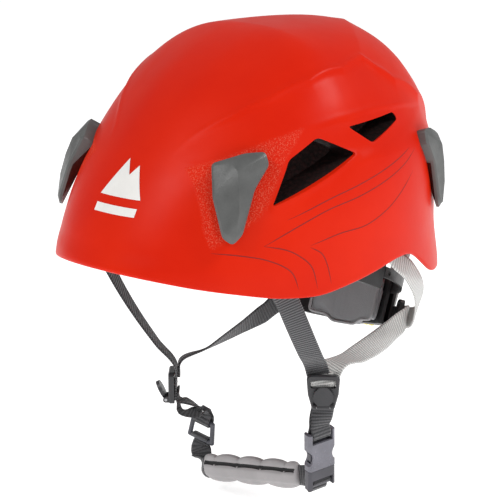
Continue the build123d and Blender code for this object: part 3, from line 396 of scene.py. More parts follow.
def reaches(z):
    """How far the shell reaches to the side, the front and the rear at a height."""
    share = z / CROWN_HEIGHT
    front = squircle(FRONT_REACH, share, FRONT_POWER) + BRIM_FLARE * smooth((12.0 - z) / 24.0)
    rear = squircle(REAR_REACH, share, REAR_POWER) + TAIL_FLARE * smooth((8.0 - z) / 38.0)
    return squircle(SIDE_REACH, share, SIDE_POWER), front, rear


def reach_beside(y, z):
    """How far the shell reaches to the side, and to the front or the rear, on a place's own half."""
    side, front, rear = reaches(z)
    return side, np.where(y < 0, front, rear)


def dome(angle, z):
    """Points of the dome at plan angles from the rear and at heights."""
    ahead, aside = np.cos(angle), np.sin(angle)
    side, reach = reach_beside(ahead, z)
    level = (np.abs(aside / np.maximum(side, 1e-6)) ** PLAN_POWER
             + np.abs(ahead / np.maximum(reach, 1e-6)) ** PLAN_POWER)
    radius = level ** (-1.0 / PLAN_POWER)
    return np.stack([radius * aside, radius * ahead, z + 0.0 * angle], axis=-1)


def rim_heights(angles):
    """The rim's height at each plan angle, smoothed round the shell."""
    places, heights = zip(*RIM_LINE)
    z = np.zeros_like(angles)
    for _ in range(8):
        z = np.interp(dome(angles, z)[:, 1], places, heights)
    window = np.hanning(25)
    window /= window.sum()
    wrapped = np.concatenate([z[-12:], z, z[:12]])
    return np.convolve(wrapped, window, mode="valid")


def to_path(y, z, path, closed=False):
    """The distance from side-view points to a path."""
    corners = list(path) + ([path[0]] if closed else [])
    best = np.full(np.shape(y), 1e9)
    for (y0, z0), (y1, z1) in zip(corners[:-1], corners[1:]):
        run = (y1 - y0) ** 2 + (z1 - z0) ** 2
        share = np.clip(((y - y0) * (y1 - y0) + (z - z0) * (z1 - z0)) / run, 0.0, 1.0)
        best = np.minimum(best, np.hypot(y - y0 - share * (y1 - y0), z - z0 - share * (z1 - z0)))
    return best


def within(y, z, outline):
    """Signed distance into an outline: positive inside."""
    inside = np.zeros(np.shape(y), dtype=bool)
    for (y0, z0), (y1, z1) in zip(outline, outline[1:] + outline[:1]):
        crosses = (z0 > z) != (z1 > z)
        at = y0 + (z - z0) * (y1 - y0) / np.where(z1 == z0, 1e-9, z1 - z0)
        inside ^= crosses & (y < at)
    distance = to_path(y, z, outline, closed=True)
    return np.where(inside, distance, -distance)


def height_of(line, y):
    """A side-view line's height over y."""
    places, heights = zip(*line)
    return np.interp(y, places, heights)


def relief(points):
    """How far the moulded features move the dome's surface along its normal, in millimetres."""
    x, y, z = np.abs(points[..., 0]), points[..., 1], points[..., 2]
    on_side = smooth((x - 20.0) / 12.0)
    # The crown band ends in a crease with a steeper fall outside it.
    beyond = x - height_of(BAND_EDGE, y)
    fade = smooth((y - BAND_FADE[0]) / (BAND_FADE[1] - BAND_FADE[0])) * smooth((z - 60.0) / 20.0)
    move = -BAND_DROP * fade * (1.0 - np.exp(-np.maximum(beyond, 0.0) / BAND_FALL))
    move += BAND_BEAD * fade * np.exp(-(beyond / 2.4) ** 2)
    # The brow is a little slimmer above the flared brim, and the crown in front of the ridge too.
    move -= BROW_SLIM * smooth((-y - 45.0) / 40.0) * smooth((z + 6.0) / 48.0) * smooth((112.0 - z) / 60.0)
    move -= CROWN_SLIM * smooth((z - 50.0) / 30.0) * smooth((x - 12.0) / 30.0) * smooth((5.0 - y) / 40.0)
    # The ridge across the crown: two straight falls meeting at the rear apex.
    ridge = RIDGE_APEX - (RIDGE_APEX - RIDGE_CORNER[0]) * np.minimum(x / RIDGE_CORNER[1], 1.0)
    behind = np.maximum(y - ridge, 0.0) * np.exp(-np.maximum(beyond, 0.0) / 6.0)
    high = smooth((z - 84.0) / 22.0)
    rise = RIDGE_RISE * np.exp(-np.maximum(ridge - y, 0.0) / 30.0) * smooth(1.4 - x / 75.0)
    move += high * (rise * np.exp(-np.maximum(y - ridge, 0.0) / 12.0) - 0.03 * np.minimum(behind, 40.0))
    # The channel that holds the vents: a crisp step at its top and a soft foot.
    top, foot = height_of(CHANNEL_TOP, y), height_of(CHANNEL_FOOT, y)
    width = np.maximum(top - foot, 1e-3)
    share = smooth((y + 99.0) / 5.0) * smooth((96.0 - y) / 45.0) * np.minimum(width / 16.0, 1.0)
    floor = smooth((top - z) / 2.6) * smooth((z - foot) / (0.45 * width + 3.0))
    move -= on_side * CHANNEL_DEPTH * share * floor
    move += on_side * CHANNEL_BEAD * np.exp(-((z - top - 1.5) / 1.6) ** 2) * share
    # Lips round the vents.
    for vent in (VENT_FRONT, VENT_REAR):
        near = to_path(y, z, vent, closed=True)
        move += on_side * VENT_LIP * np.exp(-(near / 2.2) ** 2)
    # The outer skin stays outside the inner one.
    return np.where(move < 0.0, RELIEF_LIMIT * np.tanh(move / RELIEF_LIMIT), move)


def wall_point(y, z):
    """The bare dome's left wall at side-view places."""
    y, z = np.asarray(y, dtype=float), np.asarray(z, dtype=float)
    side, reach = reach_beside(y, z)
    x = side * np.maximum(1.0 - np.abs(y / reach) ** PLAN_POWER, 0.0) ** (1.0 / PLAN_POWER)
    return np.stack([x, y, z], axis=-1)


def surface(y, z, side, lift):
    """Points on the finished side of the shell, in millimetres, from side-view places."""
    here = wall_point(y, z)
    step = 0.05
    normal = np.cross(wall_point(y + step, z) - here, wall_point(y, z + step) - here)
    normal /= np.linalg.norm(normal, axis=-1, keepdims=True)
    out = here + normal * (relief(here) + lift)[..., None]
    out[..., 0] *= side
    return out


def shell_grid():
    """The outer points and normals of the bare dome, rim row first."""
    angles = np.linspace(0.0, 2.0 * math.pi, AROUND_STEPS, endpoint=False)
    rim = rim_heights(angles)
    rows = []
    for k in range(UP_STEPS + 1):
        share = min(k / UP_STEPS, 1.0 - 1e-4)
        rows.append(dome(angles, rim + (CROWN_HEIGHT - rim) * math.sin(share * math.pi / 2.0)))
    grid = np.array(rows)
    around = np.roll(grid, -1, axis=1) - np.roll(grid, 1, axis=1)
    upward = np.gradient(grid, axis=0)
    normal = np.cross(upward, around)
    normal /= np.maximum(np.linalg.norm(normal, axis=2, keepdims=True), 1e-9)
    flip = np.sign(np.sum(normal * (grid - np.array([0, 0, 20.0])), axis=2, keepdims=True))
    return grid, normal * flip


def ring_faces(rows, columns, capped=False):
    """Quads of a tube of rows, closed round its columns, with both ends capped or open."""
    faces = []
    for k in range(rows - 1):
        for j in range(columns):
            after = (j + 1) % columns
            a, b = k * columns + j, k * columns + after
            faces.append((a, b, b + columns, a + columns))
    if capped:
        faces.append(tuple(range(columns)))
        faces.append(tuple(range((rows - 1) * columns, rows * columns))[::-1])
    return faces


def shell_rows():
    """Rows of points: inner skin from the crown down, round the rim, then the outer skin up."""
    grid, normal = shell_grid()
    outer = grid + normal * relief(grid)[..., None]
    inner = grid[::INNER_SHARE] - normal[::INNER_SHARE] * SHELL_WALL
    middle = (outer[0] + inner[0]) / 2.0
    rim = []
    for k in range(1, 6):
        turn = math.pi * k / 6.0
        drop = np.array([0.0, 0.0, -1.0]) * math.sin(turn) * SHELL_WALL / 2.0
        rim.append(middle + (inner[0] - middle) * math.cos(turn) + drop)
    return np.concatenate([inner[::-1], np.array(rim), outer])


def cut_vents(piece):
    """Cut the side vents through the shell with rounded prisms."""
    for name, outline in (("front", VENT_FRONT), ("rear", VENT_REAR)):
        cutter_mesh = bpy.data.meshes.new("cutter_" + name)
        points = [(x, y * MM, z * MM) for x in (-0.2, 0.2) for y, z in outline]
        cutter_mesh.from_pydata(points, [], ring_faces(2, len(outline), capped=True))
        cutter = link_object("cutter_" + name, cutter_mesh)
        shape = bmesh.new()
        shape.from_mesh(cutter_mesh)
        long_edges = [e for e in shape.edges if abs(e.verts[0].co.x - e.verts[1].co.x) > 0.1]
        bmesh.ops.bevel(shape, geom=long_edges, offset=0.0026, segments=5, affect="EDGES", profile=0.5)
        bmesh.ops.recalc_face_normals(shape, faces=shape.faces)
        shape.to_mesh(cutter_mesh)
        shape.free()
        cut = piece.modifiers.new("cut", "BOOLEAN")
        cut.operation = "DIFFERENCE"
        cut.solver = "MANIFOLD"
        cut.object = cutter
        apply_modifiers(piece)
        bpy.data.objects.remove(cutter)


def make_shell():
    """The red outer shell."""
    rows = shell_rows()
    count = rows.shape[0]
    points = rows.reshape(-1, 3) * MM
    faces = ring_faces(count, AROUND_STEPS)
    low_pole, high_pole = len(points), len(points) + 1
    poles = np.array([rows[0].mean(axis=0), rows[-1].mean(axis=0)]) * MM
    last = (count - 1) * AROUND_STEPS
    for j in range(AROUND_STEPS):
        after = (j + 1) % AROUND_STEPS
        faces.append((low_pole, after, j))
        faces.append((high_pole, last + j, last + after))
    piece = make_piece("shell_skin", np.concatenate([points, poles]), faces, SHELL)
    place = np.concatenate([points, poles]) / MM
    depth = within(place[:, 1], place[:, 2], PATCH)
    grain = smooth((depth + 0.6) / 1.2) * (np.abs(place[:, 0]) > 35.0)
    store(piece.data, "grain", grain)
    face_out(piece)
    cut_vents(piece)
    piece.data.shade_smooth()
    piece.data.set_sharp_from_angle(angle=math.radians(50))
    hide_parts("outer_shell")
    return piece


def make_grooves():
    """Thin darker red strips along each side, lying on the skin as painted shade for the moulded grooves."""
    points, faces = [], []
    for side in (1.0, -1.0):
        for path in GROOVES:
            y, z = np.array(path, dtype=float).T
            along = np.arange(len(path))
            fine = np.linspace(0, len(path) - 1, 12 * len(path))
            ys, zs = spline(along, y, fine), spline(along, z, fine)
            slope = np.stack([np.gradient(ys), np.gradient(zs)], axis=1)
            slope /= np.linalg.norm(slope, axis=1, keepdims=True)
            half = 0.33 * np.minimum(1.0, np.minimum(fine, fine[-1] - fine) * 1.5 + 0.15)
            left = surface(ys - slope[:, 1] * half, zs + slope[:, 0] * half, side, 0.06)
            right = surface(ys + slope[:, 1] * half, zs - slope[:, 0] * half, side, 0.06)
            start = len(points)
            points += [p * MM for pair in zip(left, right) for p in pair]
            for k in range(len(fine) - 1):
                a = start + 2 * k
                faces.append((a, a + 2, a + 3, a + 1))
    piece = make_piece("shell_grooves", points, faces, GROOVE_SHADE)


def spline(knots, values, at):
    """A smooth curve through values, by cubic pieces with matched slopes."""
    slopes = np.gradient(values, knots)
    k = np.clip(np.searchsorted(knots, at, side="right") - 1, 0, len(knots) - 2)
    run = (knots[k + 1] - knots[k])
    t = (at - knots[k]) / run
    a, b, da, db = values[k], values[k + 1], slopes[k] * run, slopes[k + 1] * run
    return ((2 * t ** 3 - 3 * t ** 2 + 1) * a + (t ** 3 - 2 * t ** 2 + t) * da
            + (-2 * t ** 3 + 3 * t ** 2) * b + (t ** 3 - t ** 2) * db)


def front_point(x, z, lift):
    """A point on the front of the shell, in metres."""
    reach_side, front, _ = reaches(np.asarray(z, dtype=float))
    y = -front * (1.0 - abs(x / reach_side) ** PLAN_POWER) ** (1.0 / PLAN_POWER)
    here = np.array([x, float(y), z])
    outward = np.array([x / reach_side ** 2, float(y) / front ** 2, 0.25 / front])
    outward = outward / np.linalg.norm(outward)
    return (here + outward * (lift + float(relief(here[None, :])[0]))) * MM


def make_mark():
    """Two plain painted peaks on the brow, with a bar below them."""
    shape = bmesh.new()
    for outline in (MARK_PEAKS, MARK_BAR):
        shape.faces.new([shape.verts.new((x, 0.0, z)) for x, z in outline])
    bmesh.ops.triangulate(shape, faces=shape.faces[:])
    for _ in range(4):
        bmesh.ops.subdivide_edges(shape, edges=shape.edges[:], cuts=1, use_grid_fill=True)
    for corner in shape.verts:
        corner.co = Vector(front_point(corner.co.x, corner.co.z, 0.12))
    bmesh.ops.recalc_face_normals(shape, faces=shape.faces)
    mesh = bpy.data.meshes.new("brow_mark")
    shape.to_mesh(mesh)
    shape.free()
    mesh.shade_smooth()
    mesh.materials.append(WHITE)
    piece = link_object("brow_mark", mesh)
    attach(piece, "shell")


make_shell()
make_grooves()
make_mark()


# ---- headlamp clips ----

# The front clips, on the wall: centre (y, z), outline (inwards, up) and ridge (inwards, up, lift).
CLIP_PLACES = {"front": (-84.0, 45.0), "rear": (84.0, 42.0)}
CLIP_OUTLINE = [(-15, 21), (5, 27), (17, 28), (19, 20), (10, 5), (2, -22), (-4, -28), (-10, -24), (-15, 0)]
CLIP_RIDGE = [(-3.2, 20.0, 7.4), (0.3, 14.5, 9.6), (0.6, 3.8, 9.6), (0.0, -9.2, 9.0), (-2.2, -23.0, 7.2)]
# The foot stands off the wall below the seat and reaches into it above.
CLIP_SEAT_FROM, CLIP_GAP, CLIP_FOOT = 6.0, 2.6, -2.9
CLIP_CORNER = 2.6
CLIP_RINGS = [(4.4, 1.0), (5.7, 0.92)]


def dome_level(points):
    """Below zero inside the bare dome and above zero outside it."""
    side, reach = reach_beside(points[..., 1], points[..., 2])
    return np.abs(points[..., 0] / side) ** PLAN_POWER + np.abs(points[..., 1] / reach) ** PLAN_POWER - 1.0


def dome_normal(points):
    """The bare dome's outward normals near points on it."""
    steps = [np.array(step) for step in ((0.05, 0, 0), (0, 0.05, 0), (0, 0, 0.05))]
    slope = np.stack([dome_level(points + step) - dome_level(points - step) for step in steps], axis=-1)
    return slope / np.linalg.norm(slope, axis=-1, keepdims=True)


def on_wall(places, name, side, lifts):
    """Flat (inwards, up) places beside a clip's centre, dropped on the wall and lifted off it."""
    centre = wall_point(*CLIP_PLACES[name])
    normal = dome_normal(centre)
    across = np.cross([0.0, 0.0, 1.0], normal)
    across /= np.linalg.norm(across)
    upward = np.cross(normal, across)
    inward = 1.0 if name == "front" else -1.0
    aside, above = np.array(places, dtype=float).T
    flat = centre + np.outer(inward * aside, across) + np.outer(above, upward)
    near, far = np.full(len(flat), -40.0), np.full(len(flat), 12.0)
    for _ in range(30):
        middle = (near + far) / 2.0
        inside = dome_level(flat + normal * middle[:, None]) < 0
        near, far = np.where(inside, middle, near), np.where(inside, far, middle)
    foot = flat + normal * near[:, None]
    out = foot + dome_normal(foot) * np.asarray(lifts, dtype=float)[:, None]
    return out * [side, 1.0, 1.0] * MM


def rounded(outline, radius, steps=4):
    """A closed outline with its corners rounded."""
    corners = np.array(outline, dtype=float)
    points = []
    for k, corner in enumerate(corners):
        before, after = corners[k - 1], corners[(k + 1) % len(corners)]
        start = corner + (before - corner) * min(radius / np.linalg.norm(before - corner), 0.45)
        end = corner + (after - corner) * min(radius / np.linalg.norm(after - corner), 0.45)
        for step in range(steps + 1):
            t = step / steps
            points.append(tuple(start * (1 - t) ** 2 + corner * 2 * t * (1 - t) + end * t * t))
    return points


def clip_points(name, side, outline):
    """Corners of a clip: the foot and two upper rings of its outline, then its ridge."""
    centre = np.mean(outline, axis=0)
    feet = [CLIP_GAP if v < CLIP_SEAT_FROM else CLIP_FOOT for _, v in outline]
    points = list(on_wall(outline, name, side, feet))
    for lift, grow in CLIP_RINGS:
        ring = [tuple(centre + (np.array(p) - centre) * grow) for p in outline]
        points += list(on_wall(ring, name, side, [lift] * len(ring)))
    ridge = [(u, v) for u, v, _ in CLIP_RIDGE]
    return points + list(on_wall(ridge, name, side, [lift for _, _, lift in CLIP_RIDGE]))


def clip_top(outline, top, ridge):
    """Faces from the inner ring up to the nearest points of the ridge."""
    middle = np.array([(u, v) for u, v, _ in CLIP_RIDGE])
    nearest = [int(np.argmin(np.linalg.norm(middle - np.array(p), axis=1))) for p in outline]
    faces = []
    for k in range(len(outline)):
        after = (k + 1) % len(outline)
        a, b = nearest[k], nearest[after]
        faces.append((top + k, top + after, ridge + b))
        step = 1 if a > b else -1
        faces += [(top + k, ridge + j, ridge + j + step) for j in range(b, a, step)]
    return faces


def make_clip(name, side):
    """One faceted headlamp clip."""
    outline = rounded(CLIP_OUTLINE, CLIP_CORNER)
    points = clip_points(name, side, outline)
    count = len(outline)
    faces = [tuple(range(count - 1, -1, -1))] + ring_faces(3, count)
    faces += clip_top(outline, 2 * count, 3 * count)
    label = "headlamp_hook_" + name + "_" + ("left" if side > 0 else "right")
    piece = make_piece(label, points, faces, CLIP)
    face_out(piece)
    piece.data.shade_smooth()
    piece.data.set_sharp_from_angle(angle=math.radians(24))
    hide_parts(label.replace("headlamp_hook", "headlamp_clip"))


for clip_name in CLIP_PLACES:
    for clip_side in (1.0, -1.0):
        make_clip(clip_name, clip_side)


# ---- webbing ----

WEB_WIDTH, WEB_WALL = 15.0, 1.4
LOOP_TILT, LOOP_ROLL = math.radians(24.0), math.radians(4.0)
BAND_RADIUS = 76.0
NAPE = np.array([0.0, 106.0, -66.0])
GUIDE_ANGLE, GUIDE_RADIUS, GUIDE_WALL, GUIDE_HEIGHT = 33.5, 82.0, 3.0, -9.0
DIVIDER_AT = {"left": np.array([76.0, -8.0, -92.0]), "right": np.array([-75.0, -3.0, -121.0])}
DIVIDER_YAW = math.radians(45.0)
BUCKLE_MOUTH = np.array([66.1, -0.5, -148.4])
SOCKET_LENGTH, PLUG_LENGTH, BAR_RADIUS = 27.0, 14.0, 1.8
RING_CENTRE, RING_HEIGHT, RING_ROD = np.array([-55.0, 7.0, -153.0]), 17.0, 1.7
PAD_ENDS = np.array([45.0, 2.5, -160.6]), np.array([-45.0, 2.0, -176.3])
UP = np.array([0.0, 0.0, 1.0])
SIDES = {"left": 1.0, "right": -1.0}
# Where the left anchors stand: (y, z, depth below the shell).
ANCHORS = {"front": (-63.0, -3.0, 8.0), "rear": (46.0, 4.0, 13.0)}


def unit(vector):
    """A vector of length one."""
    vector = np.asarray(vector, dtype=float)
    return vector / np.linalg.norm(vector)


def head_loop():
    """The head loop's centre and its side, rear and up directions."""
    lean = np.array([[1, 0, 0], [0, math.cos(LOOP_TILT), math.sin(LOOP_TILT)],
                     [0, -math.sin(LOOP_TILT), math.cos(LOOP_TILT)]])
    roll = np.array([[math.cos(LOOP_ROLL), 0, -math.sin(LOOP_ROLL)], [0, 1, 0],
                     [math.sin(LOOP_ROLL), 0, math.cos(LOOP_ROLL)]])
    turn = lean @ roll
    return NAPE - turn[:, 1] * BAND_RADIUS, turn


LOOP_CENTRE, LOOP_TURN = head_loop()


def in_loop(x, y, z):
    """A point given in the head loop's own frame."""
    return LOOP_CENTRE + LOOP_TURN @ np.array([x, y, z])


def guide_point(side, behind, ahead=0.0):
    """A point behind the middle of a strap guide, or some degrees ahead of it."""
    angle = math.radians(side * (GUIDE_ANGLE + ahead))
    radius = GUIDE_RADIUS + behind
    return in_loop(radius * math.sin(angle), radius * math.cos(angle), GUIDE_HEIGHT)


def divider_axes(name):
    """A divider's across, up and outward directions."""
    s, c = math.sin(DIVIDER_YAW), SIDES[name] * math.cos(DIVIDER_YAW)
    return np.array([s, c, 0.0]), UP, np.array([c, -s, 0.0])


def in_divider(name, across, up, out):
    """A point given in a divider's frame."""
    x, y, z = divider_axes(name)
    return DIVIDER_AT[name] + x * across + y * up + z * out


def anchor_slot(name):
    """The middle of a left anchor's slot and the direction across its strap."""
    y, z, depth = ANCHORS[name]
    spot = wall_point(y, z)
    side, reach = reach_beside(y, np.array(z))
    normal = unit([abs(spot[0] / side) ** (PLAN_POWER - 1) / side,
                   math.copysign(abs(y / reach) ** (PLAN_POWER - 1) / reach, y), 0.0])
    return spot + normal * (3.0 - depth - SHELL_WALL - 1.2), np.cross(UP, normal)


def axes_from(up, across):
    """Three square directions, across, inward or rearward and up, from up and a rough across."""
    up = unit(up)
    across = unit(across - up * np.dot(across, up))
    return across, np.cross(up, across), up


BUCKLE_AXES = axes_from(np.array([0.143, -0.167, 0.976]), np.array([0.2, 0.97, 0.14]))
RING_AXES = axes_from(np.array([0.18, 0.0, 0.98]), np.array([0.995, 0.1, 0.0]))


def chin_axes():
    """The chin pad's along, inward and up directions."""
    along = unit(PAD_ENDS[0] - PAD_ENDS[1])
    up = unit(UP - along * along[2])
    return along, np.cross(up, along), up


def strap_section(width, wall):
    """A webbing's section: flat faces, rounded selvedges and a slightly thicker border."""
    half, thick = width / 2.0, wall / 2.0
    upper = []
    for share in np.linspace(-1.0, 1.0, 15):
        edge = abs(share)
        border = 1.0 if edge < 0.82 else 1.08
        fall = max(1.0 - max(edge - 0.9, 0.0) ** 2 / 0.0101, 0.02)
        upper.append((share * half, thick * border * math.sqrt(fall)))
    return upper + [(u, -v) for u, v in reversed(upper)]


def strap(name, stations, body, material, width=WEB_WIDTH, wall=WEB_WALL):
    """A webbing swept smoothly through (centre, across) stations, in millimetres."""
    centres = np.array([s[0] for s in stations], dtype=float)
    acrosses = np.array([unit(s[1]) for s in stations])
    runs = np.concatenate([[0.0], np.cumsum(np.linalg.norm(np.diff(centres, axis=0), axis=1))])
    steps = max(int(runs[-1] / 1.6), 8)
    at = np.linspace(0.0, runs[-1], steps)
    path = np.stack([spline(runs, centres[:, k], at) for k in range(3)], axis=1)
    turn = np.stack([np.interp(at, runs, acrosses[:, k]) for k in range(3)], axis=1)
    along = np.gradient(path, axis=0)
    along /= np.linalg.norm(along, axis=1, keepdims=True)
    turn -= along * np.sum(turn * along, axis=1, keepdims=True)
    turn /= np.linalg.norm(turn, axis=1, keepdims=True)
    thick = np.cross(along, turn)
    section = strap_section(width, wall)
    points, lengthwise, crosswise = [], [], []
    for k in range(steps):
        for u, v in section:
            points.append((path[k] + turn[k] * u + thick[k] * v) * MM)
            lengthwise.append(at[k] * MM)
            crosswise.append(u * MM)
    faces = ring_faces(steps, len(section), capped=True)
    piece = make_piece(name, points, faces, material, body)
    store(piece.data, "along", lengthwise)
    store(piece.data, "across", crosswise)
    face_out(piece)
    return piece


def hang(start, end, first, last, shares, bow):
    """Stations from one place to another, with the across direction turning and a bow between."""
    return [(start * (1 - share) + end * share + bow * math.sin(math.pi * share),
             first * (1 - share) + last * share) for share in shares]


def hung_top(name, side):
    """A strap's first two stations in an anchor, its slot's middle and its across direction."""
    slot, across = anchor_slot(name)
    top, first = slot * [side, 1, 1], np.array([side * across[0], across[1], 0.0])
    return [(top + UP * 4.5, first), (top - UP * 5.5, first)], top, first


def front_strap(name):
    """The webbing from a front anchor down to a divider."""
    side = SIDES[name]
    stations, top, first = hung_top("front", side)
    end, near = in_divider(name, -2.0 * side, 3.0, -3.1), in_divider(name, -4.0 * side, 12.0, -3.4)
    turn = divider_axes(name)[0] * side
    bow = np.array([side * 3.0, -3.0, 0.0])
    stations += hang(top - UP * 7.0, near, first, turn, (0.0, 0.2, 0.4, 0.6, 0.8), bow)
    tail = in_divider(name, 0.0, -10.0, -2.8)
    stations += [(near, turn), (end, turn), (tail, turn)]
    piece = strap("front_webbing_" + name, stations, "shell", WEB_DARK)
    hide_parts("front_strap_" + name)


def rear_upper_strap(name):
    """The webbing from a rear anchor to the cradle's guide."""
    side = SIDES[name]
    stations, top, first = hung_top("rear", side)
    at_guide = LOOP_TURN[:, 2]
    guide = guide_point(side, GUIDE_WALL / 2.0 + 3.5)
    ahead = guide_point(side, GUIDE_WALL / 2.0 + 5.4, 6.5)
    bow = guide_point(side, GUIDE_WALL) - guide_point(side, 0.0) + np.array([side * GUIDE_WALL, 0, 0])
    stations += hang(top - UP * 10.0, ahead, first, at_guide, (0.0, 0.25, 0.5, 0.75, 1.0), bow * 2.2)
    stations.append((guide, at_guide))
    # The right-hand strap takes the dark webbing as painted shade: it is the same light webbing as the left
    # one, darker on the far side.
    piece = strap("rear_upper_webbing_" + name, stations, None, WEB_LIGHT if side > 0 else WEB_DARK)
    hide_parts("rear_strap_upper_" + name)
    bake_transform(piece)


def rear_strap(name):
    """The webbing from the cradle's guide down to a divider."""
    side = SIDES[name]
    guide = guide_point(side, GUIDE_WALL / 2.0 + 1.1)
    end, near = in_divider(name, 2.0 * side, 3.0, -4.9), in_divider(name, 5.0 * side, 12.0, -5.4)
    turn = divider_axes(name)[0] * side
    ahead = guide_point(side, GUIDE_WALL / 2.0 + 1.9, 6.5)
    outward = guide_point(side, 4.0) - guide_point(side, 0.0)
    at_guide = -LOOP_TURN[:, 2]
    stations = [(guide, at_guide)] + hang(ahead, near, at_guide, turn, (0.0, 0.25, 0.5, 0.75), outward)
    stations += [(near, turn), (end, turn)]
    # The right-hand strap takes the dark webbing as painted shade: it is the same light webbing as the left
    # one, darker on the far side.
    piece = strap("rear_webbing_" + name, stations, None, WEB_LIGHT if side > 0 else WEB_DARK)
    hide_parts("rear_strap_" + name)
    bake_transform(piece)


def bar_wrap(centre, axes, half_turn, radius, wall):
    """Stations round a bar: from one side over its far side to the other."""
    across, inward, up = axes
    stations = []
    for k in range(9):
        angle = math.radians(-90.0 + 180.0 * k / 8.0)
        out = up * half_turn * math.cos(angle) + inward * math.sin(angle)
        stations.append((centre + out * (radius + wall / 2.0), across))
    return stations


def lower_strap(name):
    """A doubled webbing from a divider round a bar and back: outer leg, wrap and inner leg."""
    axes = BUCKLE_AXES if name == "left" else RING_AXES
    axis_across, inward, axis_up = axes
    if name == "left":
        bar = BUCKLE_MOUTH + axis_up * (SOCKET_LENGTH - 2.4)
        width, rod, bow, shift = WEB_WIDTH - 0.4, BAR_RADIUS, 0.9, np.zeros(3)
    else:
        bar = RING_CENTRE + axis_up * (RING_HEIGHT / 2.0 - RING_ROD)
        width, rod, bow, shift = WEB_WIDTH - 1.0, RING_ROD, 3.0, np.array([-1.0, -1.5, -1.0])
    turn = divider_axes(name)[0]
    top, upper = in_divider(name, 0.0, -5.0, -4.3), in_divider(name, 0.0, -13.0, -4.6)
    low = bar + axis_up * (rod + 3.4 + WEB_WALL)
    wrap = bar_wrap(bar, axes, -1.0, rod + 0.3, WEB_WALL)
    behind = np.cross(unit(top - low), turn)
    behind *= math.copysign(1.0, np.dot(behind, inward))
    legs = []
    for sign in (-1.0, 1.0):
        leg = [(top + behind * 0.75 * sign, turn), (upper + behind * 0.75 * sign, turn)]
        for share in (0.2, 0.4, 0.6, 0.8, 1.0):
            bulge = math.sin(math.pi * share)
            aside = unit(behind * (1 - share) + inward * share) * (0.75 + 0.5 * share + bow * bulge)
            place = upper * (1 - share) + low * share + shift * bulge + aside * sign
            leg.append((place, turn * (1 - share) + axis_across * share))
        legs.append(leg)
    stations = legs[0] + wrap + legs[1][::-1]
    piece = strap("lower_webbing_" + name, stations, None, WEB_DARK, width=width, wall=WEB_WALL - 0.1)
    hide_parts("lower_strap_" + name)
    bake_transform(piece)


def chin_webbing():
    """The webbing from the plug through the chin pad, and from the pad to the ring."""
    along, _, upright = chin_axes()
    near, far = PAD_ENDS[0] + along * 2.5, PAD_ENDS[1] - along * 2.5
    width = WEB_WIDTH - 1.0
    b_across, _, b_up = axes = BUCKLE_AXES
    bar = BUCKLE_MOUTH + b_up * (1.8 - PLUG_LENGTH)
    left = bar - b_up * (BAR_RADIUS + 0.3 + WEB_WALL / 2.0)
    wrap = bar_wrap(bar, axes, 1.0, BAR_RADIUS + 0.3, WEB_WALL)
    leg = left + np.array([-2.5, 0.6, -2.8])
    stations = [(near - along * 14.0, upright), (near, upright),
                (near + along * 3.5, upright + b_across * 0.4),
                (near + along * 8.5 - UP * 1.5, upright * 0.5 + b_across), (leg, b_across)]
    stations += [(leg + b_up * 3.0 - axes[1] * 0.6, b_across)] + wrap[::-1][:-1]
    piece = strap("chin_webbing_left", stations, None, WEB_DARK, width=width)
    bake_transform(piece)
    r_across, _, r_up = axes = RING_AXES
    bar = RING_CENTRE - r_up * (RING_HEIGHT / 2.0 - RING_ROD)
    right = bar - r_up * (RING_ROD + 1.5 + WEB_WALL / 2.0)
    wrap = bar_wrap(bar, axes, 1.0, RING_ROD + 0.3, WEB_WALL)
    stations = wrap[1:] + [(right - r_up * 2.5, r_across),
                           ((right * 2 + far) / 3.0 - UP, r_across * 2 - upright * 0.6),
                           ((right + far * 2) / 3.0 - along * 1.5, r_across * 0.6 - upright * 1.2),
                           (far, -upright), (far + along * 16.0, -upright)]
    other = strap("chin_webbing_right", stations, "chin_loop", WEB_DARK, width=width)
    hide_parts("chin_webbing")
    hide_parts("chin_webbing")


def divider_webbing(name):
    """The turn of webbing that fills the divider's window, clear of the closed lever."""
    side = SIDES[name]
    turn = divider_axes(name)[0] * side
    route = [(-1.6, 9.0, -3.3), (-1.3, 7.2, -2.5), (-0.8, 5.4, -0.5), (-0.4, 3.8, 0.6), (-0.2, 2.2, -0.5),
             (0.0, 0.4, -2.5), (0.0, -1.6, -3.3)]
    stations = [(in_divider(name, side * across, up, out), turn) for across, up, out in route]
    strap("divider_webbing_" + name, stations, "shell", WEB_LIGHT, width=WEB_WIDTH + 0.8, wall=WEB_WALL - 0.2)


for strap_side in SIDES:
    front_strap(strap_side)
    divider_webbing(strap_side)
    rear_upper_strap(strap_side)
    rear_strap(strap_side)
    lower_strap(strap_side)
chin_webbing()


# ---- chin pad ----

# The pad's half-height at its narrowest, the lobes' rise, the half-depth and the step of its raised band.
CHIN_HEIGHT, CHIN_LOBE, CHIN_DEPTH, CHIN_STEP = 7.0, 2.8, 4.6, 1.1
CHIN_SLOT_SHARE, CHIN_SLOT_HEIGHT, CHIN_SLOT_DEPTH, CHIN_BAND_FOOT = 0.96, 3.4, 1.9, -5.0


